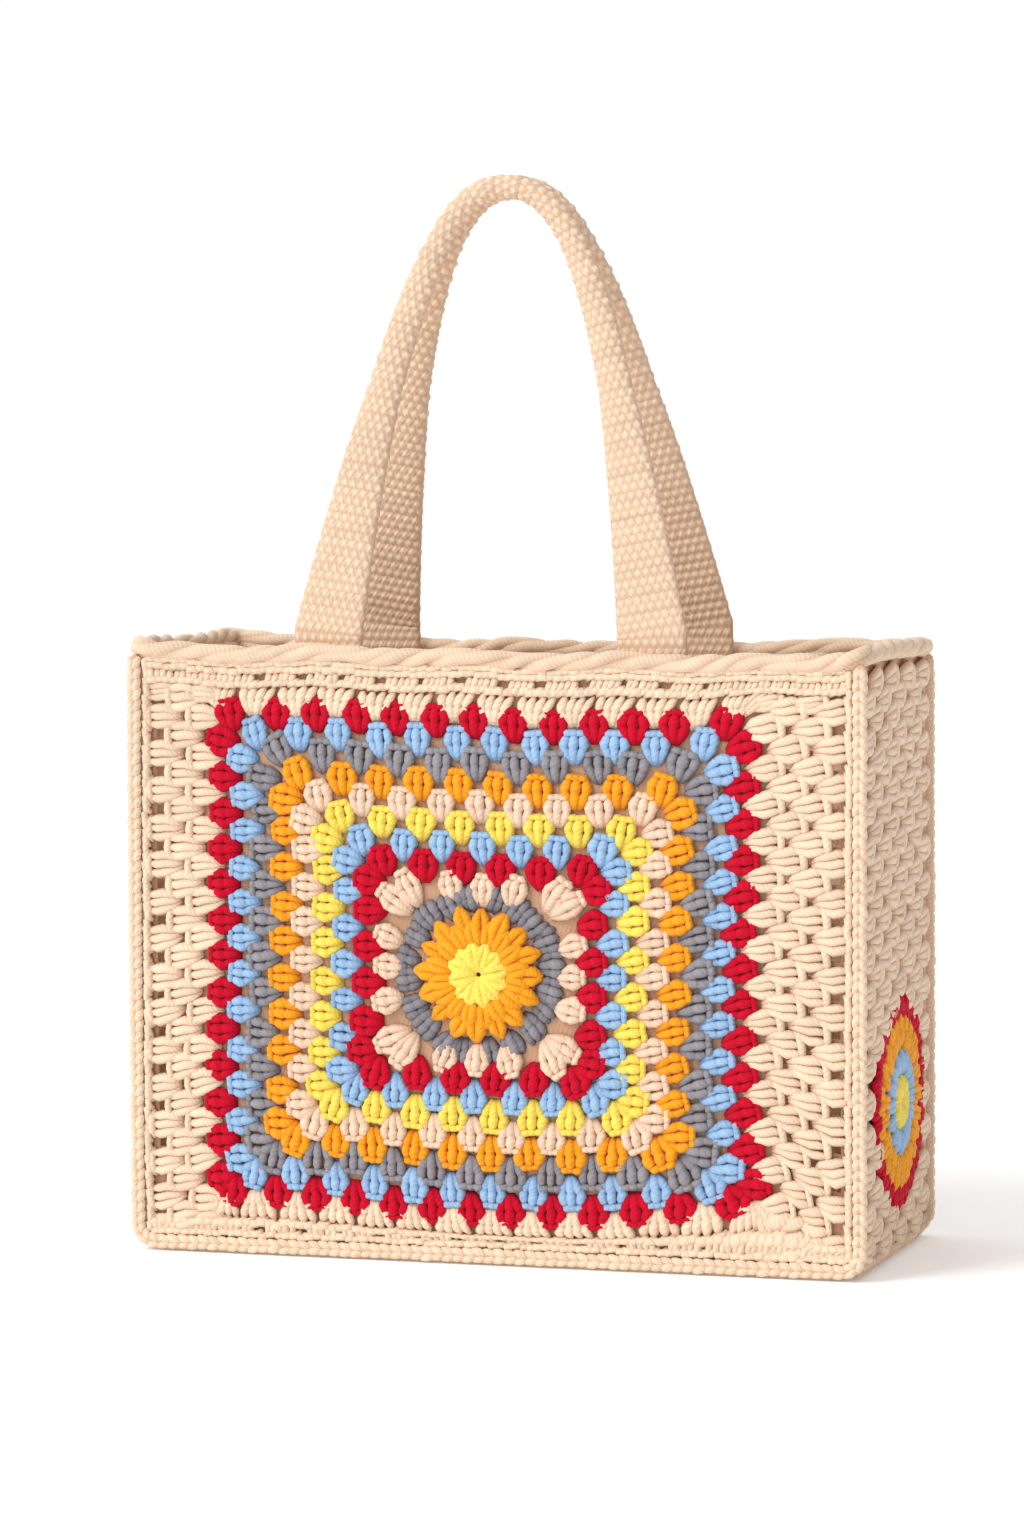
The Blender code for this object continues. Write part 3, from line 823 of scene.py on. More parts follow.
class Wardrobe:
    """Keeps one material for each yarn and dresses pieces with it."""

    def __init__(self) -> None:
        """Makes the yarn materials."""
        self.materials = {yarn: look.material(yarn.value) for yarn, look in FINISHES.items()}
        self.triangles = 0

    def dress(self, surface: Surface, name: str, yarn: Yarn, *nodes: str) -> None:
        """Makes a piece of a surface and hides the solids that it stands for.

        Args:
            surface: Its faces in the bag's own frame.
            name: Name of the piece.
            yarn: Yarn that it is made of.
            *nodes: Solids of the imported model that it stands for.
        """
        piece = surface.object(name)
        piece.data.materials.append(self.materials[yarn])
        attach(piece, "root")
        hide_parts(*nodes)
        count = 2 * len(surface.quads) + len(surface.triangles)
        self.triangles += count
        LOG.info("%s: %d triangles, %s", name, count, yarn.value)


@dataclass
class GrannyFace:
    """One face: surround, eight square rounds, petal round and the flower in the middle."""

    prefix: str
    turn: float
    wardrobe: Wardrobe
    seed: int
    square_width: float = 0.298
    square_height: float = 0.268
    square_shift: float = -0.005
    centre_height: float = 0.157
    flower_shift: float = 0.0023
    flower_drop: float = 0.004
    step_across: float = 0.0112
    step_up: float = 0.0101
    pitch_across: float = 0.0217
    pitch_up: float = 0.0194
    row_shift: float = -0.0019
    row_drop: float = 0.0035
    first_count: int = 13
    last_round: int = 8
    gap_size: float = 0.0048
    gap_outermost: float = 0.1808
    fan_reach: float = 0.0072
    slit_width: float = 0.0058
    grey_radius: float = 0.0495
    flower_radius: float = 0.0355
    centre_radius: float = 0.0175
    backing_top: float = -0.0040

    fan_width: float = 0.68
    row_width: float = 1.07
    column_width: float = 1.04
    right_lean: float = 0.13
    left_lean: float = 0.05
    corner_width: float = 1.08
    petal_width: float = 1.08
    side_petal_width: float = 1.05
    corner_petal_size: tuple[float, float] = (1.12, 1.28)
    petal_closer: float = 0.94
    side_petal_closer: float = 0.96
    petal_turn: float = 0.75
    grey_count: int = 20
    grey_lift: float = -1.6 * MM
    flower_count: int = 16
    flower_wobble: float = 1.8
    inner_petals: float = 7 * MM
    heart_count: int = 12
    heart_wobble: float = 0.7
    fan_end_inset: float = 1.5 * MM
    fan_end_lean: float = 0.12
    slant_out: float = 3 * MM
    last_column_out: float = 2 * MM
    column_share: float = 0.45
    plate_lines: int = 40
    gap_column_pitch: float = 11.3 * MM
    gap_rows: int = 12
    post_pitch: float = 3.3 * MM
    row_wobble: float = 0.9
    edge_share: float = 0.94
    row_end: float = 1.0 * MM
    edge_out: float = 0.6 * MM
    bundle_count: int = 15
    end_place: float = 7.15
    end_width: float = 0.62
    corner_slant: float = 0.8
    slant_width: float = 0.6

    bundle_leans: ClassVar[dict[int, float]] = {1: 0.16, -1: math.pi + 0.06}
    rounds: ClassVar[dict[str, Yarn]] = {
        "red_outer": Yarn.RED,
        "sky_outer": Yarn.SKY,
        "grey_square": Yarn.GREY,
        "orange_square": Yarn.ORANGE,
        "beige_square": Yarn.CREAM,
        "yellow_square": Yarn.YELLOW,
        "sky_inner": Yarn.SKY,
        "red_inner": Yarn.RED,
    }
    forms: ClassVar[dict[Yarn, tuple[Cluster, float]]] = {
        Yarn.RED: (Cluster(3, 1.1, 5.5, 3.5, 3.0, 3), 0.8),
        Yarn.SKY: (Cluster(3, 1.1, 4.8, 3.6, 2.7, 3), 1.1),
        Yarn.GREY: (Cluster(3, 1.8, 5.0, 4.8, 2.65, 3), 1.6),
        Yarn.ORANGE: (Cluster(3, 2.4, 5.2, 3.9, 2.9, 3), 1.1),
        Yarn.CREAM: (Cluster(3, 1.4, 5.0, 3.8, 2.75, 3), 1.1),
        Yarn.YELLOW: (Cluster(3, 1.4, 5.2, 4.0, 2.85, 3), 1.0),
    }

    def __post_init__(self) -> None:
        """Sets the wall's plane and the source of small differences."""
        self.wall = Wall(self.turn, BAG.half_depth - BAG.rope_proud)
        self.rng = np.random.default_rng(self.seed)

    def middle(self, index: float) -> tuple[float, float]:
        """Middle of a round: it moves from the square's middle to the flower's."""
        share = np.clip(index / self.last_round, 0, 1)
        return (self.square_shift + self.flower_shift * share, self.centre_height - self.flower_drop * share)

    def row_middle(self, index: float) -> tuple[float, float]:
        """Middle of the clusters of a round, which sits a little off the round's own middle."""
        share = 1 - np.clip(index / self.last_round, 0, 1)
        cu, cv = self.middle(index)
        return cu + self.row_shift * share, cv - self.row_drop * share

    def half(self, index: float) -> tuple[float, float]:
        """Half width and half height of a round's outer edge."""
        return (
            self.square_width / 2 - index * self.step_across,
            self.square_height / 2 - index * self.step_up,
        )

    def spread(self, count: int) -> Array:
        """Places in pitches, centred on nothing, for so many clusters."""
        return np.arange(count) - (count - 1) / 2

    def corner(self, seats: Seats, hand: int, rise: int, table: tuple[tuple[float, ...], ...],
               size: tuple[float, float]) -> None:
        """Adds the clusters that share a foot at one corner of a round.

        Args:
            seats: Where they are added.
            hand: -1 at the left corners and 1 at the right ones.
            rise: -1 at the low corners and 1 at the high ones.
            table: For each cluster, the u and v from which the corner is counted, then in
                millimetres how far beyond the corner it ends and which way it points.
            size: Width and length of each cluster.
        """
        for from_u, from_v, corner_u, corner_v, past_u, past_v, aim_u, aim_v in table:
            u = from_u + hand * (corner_u + past_u * MM)
            v = from_v + rise * (corner_v + past_v * MM)
            seats.add(u, v, math.atan2(rise * aim_v, hand * aim_u), *size)

    def round_seats(self, index: int) -> Seats:
        """Seats of one square round, two clusters sharing a foot at each corner."""
        seats = Seats()
        cu, cv = self.middle(index)
        ru, rv = self.row_middle(index)
        hu, hv = self.half(index)
        pair = (
            (ru, cv, hu, hv, -13.5, 0.5, 4.5, 18.5),
            (cu, rv, hu, hv, 1.0, -17.0, 18.0, 3.0),
        )
        for hand in (-1, 1):
            lean = self.right_lean if hand > 0 else math.pi + self.left_lean
            for place in self.spread(self.first_count - index)[1:-1]:
                seats.add(ru + place * self.pitch_across, cv + hand * hv, hand * math.pi / 2, self.row_width)
                seats.add(cu + hand * hu, rv + place * self.pitch_up, lean, self.column_width)
            for rise in (-1, 1):
                self.corner(seats, hand, rise, pair, (self.corner_width, 1.0))
        return seats

    def petal_seats(self) -> Seats:
        """Seats of the petal round: three petals a side towards the middle, two at each corner."""
        seats = Seats()
        cu, cv = self.middle(self.last_round)
        hu, hv = self.half(self.last_round)
        pair = (
            (cu, cv, hu, hv, -13.0, -1.0, 10.0, 17.0),
            (cu, cv, hu, hv, -2.0, -10.5, 17.0, 9.0),
        )
        for hand in (-1, 1):
            for place in (-1, 0, 1):
                u, v = place * self.pitch_across * self.petal_closer, hand * hv
                seats.add(cu + u, cv + v, math.atan2(v, u * self.petal_turn), self.petal_width)
                u, v = hand * hu, place * self.pitch_up * self.side_petal_closer
                seats.add(cu + u, cv + v, math.atan2(v * self.petal_turn, u), self.side_petal_width)
            for rise in (-1, 1):
                self.corner(seats, hand, rise, pair, self.corner_petal_size)
        return seats

    def ring_seats(self, count: int, radius: float, start: float = 0.0, width: float = 1.0) -> Seats:
        """Seats evenly round the flower's middle, pointing away from it."""
        seats = Seats()
        cu, cv = self.middle(self.last_round)
        for k in range(count):
            angle = TURN * (k + start) / count
            seats.add(cu + radius * math.cos(angle), cv + radius * math.sin(angle), angle, width)
        return seats

    def fan_places(self) -> Array:
        """Places along a row of the beige fans, each between two outer clusters."""
        count = self.first_count + 1
        return self.row_middle(0)[0] + self.spread(count)[1:-1] * self.pitch_across

    def surround_seats(self) -> Seats:
        """Seats of the beige fans between the outer clusters, with a narrow one at each end."""
        seats = Seats()
        middle = self.row_middle(0)[0]
        reach = self.half(0)[1] + self.fan_reach
        for rise in (-1, 1):
            v = self.middle(0)[1] + rise * reach
            for place in self.fan_places():
                seats.add(place, v, rise * math.pi / 2)
            for hand in (-1, 1):
                u = middle + hand * (self.first_count / 2 * self.pitch_across - self.fan_end_inset)
                seats.add(u, v, rise * (math.pi / 2 - hand * self.fan_end_lean), self.fan_width)
        return seats

    def column_seats(self) -> Seats:
        """Seats of the staggered columns of bundles from the square to the side edges.

        Every other column has one bundle fewer and ends in a narrow one above and below, and one
        more slants out of each corner of the square.
        """
        seats = Seats()
        cu = self.middle(0)[0]
        rv = self.row_middle(0)[1]
        hu = self.half(0)[0]
        limit = BAG.half_width - BAG.rope
        for hand in (-1, 1):
            index = 1
            while hand * cu + hu + (index - self.column_share) * self.step_across < limit:
                u = cu + hand * min(hu + index * self.step_across, limit + self.last_column_out - hand * cu)
                angle = self.bundle_leans[hand]
                even = index % 2 == 0
                for place in self.spread(self.bundle_count if even else self.bundle_count - 1):
                    seats.add(u, rv + place * self.pitch_up, angle)
                for place in () if even else (-self.end_place, self.end_place):
                    seats.add(u, rv + place * self.pitch_up, angle, self.end_width)
                index += 1
            for rise in (-1, 1):
                v = self.middle(0)[1] + rise * (self.half(0)[1] + self.fan_reach)
                slant = rise * (math.pi / 2 - hand * self.corner_slant)
                seats.add(cu + hand * (hu + self.slant_out), v, slant, self.slant_width)
        return seats

    def gap_boxes(self) -> Array:
        """Square stitch gaps through the surround, staggered like its clusters."""
        cu = self.middle(0)[0]
        cv = self.row_middle(0)[1]
        outermost = self.gap_outermost
        half = self.gap_size / 2
        boxes = []
        for hand in (-1, 1):
            edge = hand * cu + self.square_width / 2
            columns = 1 + math.floor((outermost - edge - self.gap_column_pitch / 2) / self.gap_column_pitch)
            for k in range(columns):
                u = hand * (outermost - k * self.gap_column_pitch)
                parity = (columns - 1 - k) % 2
                for place in self.spread(self.gap_rows):
                    v = cv + (place + 0.5 * parity) * self.pitch_up
                    boxes.append((u - half, u + half, v - half, v + half))
        return np.array(boxes)

    def backing(self) -> Surface:
        """Plate behind the clusters, pierced at the stitch gaps of the surround, its outer face painted in
        shade.
        """
        boxes = self.gap_boxes()
        edge_u = BAG.half_width - BAG.rope / 2
        u_lines = np.unique(np.round(np.concatenate([
            np.linspace(-edge_u, edge_u, self.plate_lines), boxes[:, 0], boxes[:, 1]]), 6))
        v_lines = np.unique(np.round(np.concatenate([
            np.arange(BAG.rope / 2, BAG.height - BAG.rope / 2, INNER_ROW / 4), boxes[:, 2], boxes[:, 3]]), 6))
        return pierced_plate(u_lines, v_lines, boxes, -BAG.wall, self.backing_top)

    def band_rows(self) -> Surface:
        """Tight rows above and below the square and one along each side edge.

        Above and below, a row of posts with slits over the fans lies between rows of chain lobes.
        Each row is given as its side of the square, its distance in millimetres and its stitch.
        """
        post = Template([[
            (0.4, -6.2, -2.6, 1.4), (0.1, -4.2, -1.4, 2.1), (-0.1, -2.0, -1.2, 2.1), (-0.4, 0.2, -2.2, 1.4),
        ]])
        lobe = Template([[
            (-3.0, -2.3, -2.2, 1.3), (-1.0, -0.4, -0.8, 2.2), (1.2, -0.2, -0.7, 2.2), (3.2, -1.6, -2.0, 1.3),
        ]])
        parts = []
        span = BAG.half_width - BAG.rope - self.row_end
        rows = (
            (1, 12.4, post), (1, 7.6, lobe), (1, 14.6, lobe), (1, 17.8, lobe),
            (-1, 12.2, post), (-1, 7.6, lobe), (-1, 12.8, lobe),
        )
        fans = self.fan_places()
        for rise, beyond, template in rows:
            seats = Seats()
            v = self.middle(0)[1] + rise * (self.half(0)[1] + beyond * MM)
            pitch = self.post_pitch if template is post else ROW_PITCH
            for place in self.spread(int(2 * span / pitch)) * pitch:
                over_fan = np.min(np.abs(fans - place)) < self.slit_width / 2
                if template is lobe or not over_fan:
                    seats.add(place, v, rise * math.pi / 2)
            parts.append(stitched(template, seats, self.rng, wobble=self.row_wobble))
        edge = Seats()
        for place in self.spread(int(self.edge_share * BAG.height / ROW_PITCH)) * ROW_PITCH:
            for hand in (-1, 1):
                u, v = hand * (span + self.edge_out), BAG.height / 2 + place
                edge.add(u, v, 0.0 if hand > 0 else math.pi)
        parts.append(stitched(lobe, edge, self.rng, wobble=self.row_wobble))
        return Surface.joined(parts)

    def dress(self, parts: list[Surface], part: str, stitches: str, yarn: Yarn) -> None:
        """Joins surfaces of the wall's plane, carries them to the bag and dresses them."""
        surface = Surface.joined(parts).placed(self.wall, DRIFT)
        node = f"{self.prefix}_{part}"
        self.wardrobe.dress(surface, f"{node}_{stitches}", yarn, node)

    def build(self) -> None:
        """Builds and dresses every piece of the face."""
        for index, (part, yarn) in enumerate(self.rounds.items()):
            form, wobble = self.forms[yarn]
            clusters = stitched(form.template(), self.round_seats(index), self.rng, wobble=wobble)
            self.dress([clusters], part, "clusters", yarn)
        cream = Cluster(3, 0.9, 4.5, 2.7, 2.6, 2).template()
        petals = stitched(cream, self.petal_seats(), self.rng).placed(self.wall, DRIFT)
        self.wardrobe.dress(petals, f"{self.prefix}_petal_round", Yarn.CREAM, f"{self.prefix}_cream_petals")
        ring = Cluster(3, 1.8, 4.6, 4.4, 2.95, 0).template()
        seats = self.ring_seats(self.grey_count, self.grey_radius, 0.5, 0.98)
        grey = stitched(ring, seats, self.rng, self.grey_lift, self.forms[Yarn.GREY][1])
        self.dress([grey], "grey_round", "clusters", Yarn.GREY)
        outer = self.ring_seats(self.flower_count, self.flower_radius)
        inner = self.ring_seats(self.flower_count, self.flower_radius - self.inner_petals, 0.5)
        flower = [
            stitched(petal_template(16.5, 3.0, 3.0), outer, self.rng, wobble=self.flower_wobble),
            stitched(petal_template(15.0, 2.6, 2.9, 1.5), inner, self.rng),
        ]
        self.dress(flower, "orange_flower", "petals", Yarn.ORANGE)
        petal = petal_template(15.5, 2.7, 2.9, 2.2)
        seats = self.ring_seats(self.heart_count, self.centre_radius, 0.5)
        heart = stitched(petal, seats, self.rng, wobble=self.heart_wobble)
        self.dress([heart], "yellow_centre", "petals", Yarn.YELLOW)
        surround = [
            stitched(Cluster(4, 2.0, 6.4, 8.2, 2.9, 0).template(), self.surround_seats(), self.rng),
            stitched(bundle_template(), self.column_seats(), self.rng),
            self.band_rows(),
            self.backing(),
        ]
        self.dress(surround, "border", "stitches", Yarn.BEIGE)


@dataclass
class SidePanel:
    """One side panel in rows of clusters, with a spiky flower low on it."""

    prefix: str
    turn: float
    flower_shift: float
    wardrobe: Wardrobe
    seed: int
    pitch: float = 0.0184
    step: float = 0.0175
    lowest: float = 0.0145
    flower_height: float = 0.081
    flower_room: float = 0.053
    bundle_half: float = 0.009
    bundle_lean: float = 0.08
    top_room: float = 0.003
    plate_top: float = -0.004
    plate_lines: int = 14
    column_numbers: tuple[float, float] = (-3.0, 5.0)

    def __post_init__(self) -> None:
        """Sets the wall's plane and the source of small differences."""
        self.wall = Wall(self.turn, BAG.half_width - BAG.rope_proud)
        self.rng = np.random.default_rng(self.seed)

    def panel_seats(self) -> Seats:
        """Seats of staggered columns of bundles over the panel, left out under the flower."""
        seats = Seats()
        half = BAG.half_depth - BAG.rope
        columns = np.arange(*self.column_numbers) * self.step
        for index, u in enumerate(columns):
            v = self.lowest + (index % 2) * self.pitch / 2
            while v < BAG.height - BAG.rope - self.top_room:
                away = math.hypot(u - self.bundle_half - self.flower_shift, v - self.flower_height)
                if away > self.flower_room:
                    seats.add(min(u, half), v, self.bundle_lean)
                v += self.pitch
        return seats

    def radial(self, template: Template, count: int, radius: float, start: float, lift: float) -> Surface:
        """Strands evenly round the flower's middle."""
        seats = Seats()
        for k in range(count):
            angle = TURN * (k + start) / count
            u = self.flower_shift + radius * math.cos(angle)
            v = self.flower_height + radius * math.sin(angle)
            seats.add(u, v, angle)
        return stitched(template, seats, self.rng, lift)

    def build(self) -> None:
        """Builds and dresses the panel and the flower's four rounds.

        Each layer of a round is given as its petal, the count of petals, their radius in
        millimetres, the share of a petal by which they are turned and their lift in millimetres.
        """
        half = BAG.half_depth - BAG.rope / 2
        u_lines = np.linspace(-half, half, self.plate_lines)
        v_lines = np.arange(BAG.base_corner, BAG.height - BAG.rope / 2, INNER_ROW / 4)
        plate = pierced_plate(u_lines, v_lines, np.zeros((0, 4)), -BAG.wall, self.plate_top)
        stitches = stitched(bundle_template(), self.panel_seats(), self.rng)
        surface = Surface.joined([stitches, plate]).placed(self.wall)
        self.wardrobe.dress(surface, f"{self.prefix}_gusset_stitches", Yarn.BEIGE, f"{self.prefix}_gusset")
        rounds = (
            ("red_points", Yarn.RED, [(petal_template(14.0, 2.6, 2.4), 24, 57.5, 0.0, 0.0),
                                      (petal_template(13.0, 2.8, 2.4), 24, 53.5, 0.5, 0.0)]),
            ("orange_petals", Yarn.ORANGE, [(petal_template(15.0, 2.4, 2.6), 24, 47.5, 0.0, 0.3),
                                            (petal_template(14.0, 2.2, 2.6), 22, 40.0, 0.5, 0.8)]),
            ("sky_ring", Yarn.SKY, [(petal_template(14.0, 2.2, 2.8), 16, 28.0, 0.0, 1.0)]),
            ("yellow_dot", Yarn.YELLOW, [(petal_template(13.0, 2.2, 2.8), 12, 15.0, 0.0, 1.2)]),
        )
        for name, yarn, layers in rounds:
            parts = [
                self.radial(template, count, radius * MM, start, lift * MM)
                for template, count, radius, start, lift in layers
            ]
            surface = Surface.joined(parts).placed(self.wall)
            node = f"{self.prefix}_{name}"
            self.wardrobe.dress(surface, f"{node}_strands", yarn, node)


def round_rectangle(half_x: float, half_y: float, radius: float) -> Array:
    """Points round a rectangle with arc corners, counterclockwise and about 4 mm apart."""
    parts, step = 8, 4 * MM
    points = []
    corners = ((1, -1, -90), (1, 1, 0), (-1, 1, 90), (-1, -1, 180))
    for index, (sx, sy, start) in enumerate(corners):
        angles = np.radians(start + np.linspace(0, 90, parts + 1))
        cx, cy = sx * (half_x - radius), sy * (half_y - radius)
        arc = np.stack([cx + radius * np.cos(angles), cy + radius * np.sin(angles)], axis=-1)
        nx, ny, _ = corners[(index + 1) % 4]
        after = np.radians(start + 90)
        target = np.array([nx * (half_x - radius), ny * (half_y - radius)])
        target = target + radius * np.array([np.cos(after), np.sin(after)])
        count = max(2, int(np.linalg.norm(target - arc[-1]) / step))
        line = arc[-1] + (target - arc[-1]) * (np.arange(1, count) / count)[:, None]
        points += [arc, line]
    return np.concatenate(points)


@dataclass
class Rim:
    """Rolled edge round the mouth: a thick rope of three plies."""

    wardrobe: Wardrobe
    seed: int = 31
    plies: int = 3
    lay: float = 66 * MM
    radius: float = 3.4 * MM
    orbit: float = 1.9 * MM
    sides: int = 8
    step: float = 2.2 * MM
    ripple: float = 0.06
    ripple_length: float = 7 * MM
    crest_light: float = 0.8
    shaded_share: float = 0.5
    crest_share: float = 0.45
    slips: tuple[tuple[float, float, int], ...] = ((0.5, 83 * MM, 1), (0.3, 31 * MM, 2))

    def line(self) -> Route:
        """Middle line of the rope, closed round the mouth."""
        x, y = BAG.half_width - BAG.rope / 2, BAG.half_depth - BAG.rope / 2
        outline = round_rectangle(x, y, BAG.rope_corner)
        flat = np.concatenate([outline, np.full((len(outline), 1), BAG.height - BAG.rope / 2)], axis=1)
        points = BAG.carry(flat)
        return Route(points, np.tile([0.0, 0.0, 1.0], (len(points), 1)), closed=True)

    def build(self) -> None:
        """Builds the plies, each on a helix of radius orbit round the rim's line.

        The angle of ply k at length s is a full turn for each lay, plus k parts of a turn, plus a
        slip: two slow sines of s, given as size in radians, wave length and share of k. A ply has
        painted shade where it lies near the line and painted light where it lies further out.
        """
        rng = np.random.default_rng(self.seed)
        route = self.line()
        parts = int(route.length / self.step)
        turns = max(1, round(route.length / self.lay))
        s = np.linspace(0, route.length, parts, endpoint=False)
        paths = []
        for k in range(self.plies):
            slip = sum(size * np.sin(TURN * s / wave + part * k) for size, wave, part in self.slips)
            angle = TURN * (turns * s / route.length + k / self.plies) + slip
            paths.append(route.point(s, self.orbit * np.cos(angle), self.orbit * np.sin(angle)))
        starts = rng.uniform(0, TURN, (self.plies, 1))
        radii = self.radius * (1 + self.ripple * np.sin(s[None] / self.ripple_length + starts))
        middle, _, outward = route.at(s)
        rope = tubes(np.stack(paths), radii, rng, self.sides, outward[None], True,
                     depth=np.ones(self.plies * parts * self.sides))
        # Painted shade and light: each ply is darker near the rope's middle line and lighter on its crest.
        ring = np.repeat(np.tile(middle, (self.plies, 1)), self.sides, axis=0)
        away = np.linalg.norm(rope.points - ring, axis=1)
        outside = away - self.shaded_share * self.radius
        outside = outside / (self.orbit + self.crest_share * self.radius)
        rope.depth = self.crest_light * np.clip(outside, 0, 1)
        self.wardrobe.dress(rope, "top_rim_rope", Yarn.BEIGE, "top_rim")


@dataclass
class Seam:
    """Joining ridge of one face: chain stitches over a core, down, along and up the face."""

    prefix: str
    side: int
    wardrobe: Wardrobe
    seed: int
    edge_parts: int = 60
    corner_parts: int = 9
    foot_parts: int = 80
    core_radius: float = 3.3 * MM
    core_steps: int = 240
    core_sides: int = 10
    core_light: float = 0.3
    chain_apart: float = 1.6
    chain_height: float = 2.3

    def route(self) -> Route:
        """Line of the ridge, from the rim down one edge, along the base and up the other."""
        y = self.side * (BAG.half_depth - BAG.rope / 2)
        x = BAG.half_width - BAG.rope / 2
        low, top = BAG.rope / 2, BAG.height - BAG.rope
        bend = low + BAG.rope_corner
        down = np.linspace(top, bend, self.edge_parts, endpoint=False)
        left = np.stack([np.full(self.edge_parts, -x), down], axis=-1)
        angles = np.linspace(math.pi, 1.5 * math.pi, self.corner_parts)
        arc = np.stack([-x + BAG.rope_corner + BAG.rope_corner * np.cos(angles),
                        bend + BAG.rope_corner * np.sin(angles)], axis=-1)
        line = np.linspace(-x + BAG.rope_corner, x - BAG.rope_corner, self.foot_parts)[1:-1]
        foot = np.stack([line, np.full(len(line), low)], axis=-1)
        right = np.concatenate([left, arc])[::-1] * np.array([-1.0, 1.0])
        flat = np.concatenate([left, arc, foot, right])
        points = BAG.carry(np.stack([flat[:, 0], np.full(len(flat), y), flat[:, 1]], axis=-1))
        outward = np.tile([0.0, float(self.side), 0.0], (len(points), 1))
        return Route(points, outward)

    def build(self) -> None:
        """Builds a core tube with two rows of slanted lobes, one on the face and one on the side."""
        rng = np.random.default_rng(self.seed)
        route = self.route()
        s = np.linspace(0, route.length, self.core_steps)
        middle, _, outward = route.at(s)
        # Painted shade: the core is coloured at a low lit share, as it lies under the chain lobes.
        core = tubes(middle[None], np.full((1, self.core_steps), self.core_radius), rng, self.core_sides,
                     outward[None], depth=np.full(self.core_steps * self.core_sides, self.core_light))
        surface = Surface.joined([core, *chain_rows(route, self.chain_apart, self.chain_height, rng)])
        self.wardrobe.dress(surface, f"{self.prefix}_seam_chain", Yarn.BEIGE, f"{self.prefix}_seam")


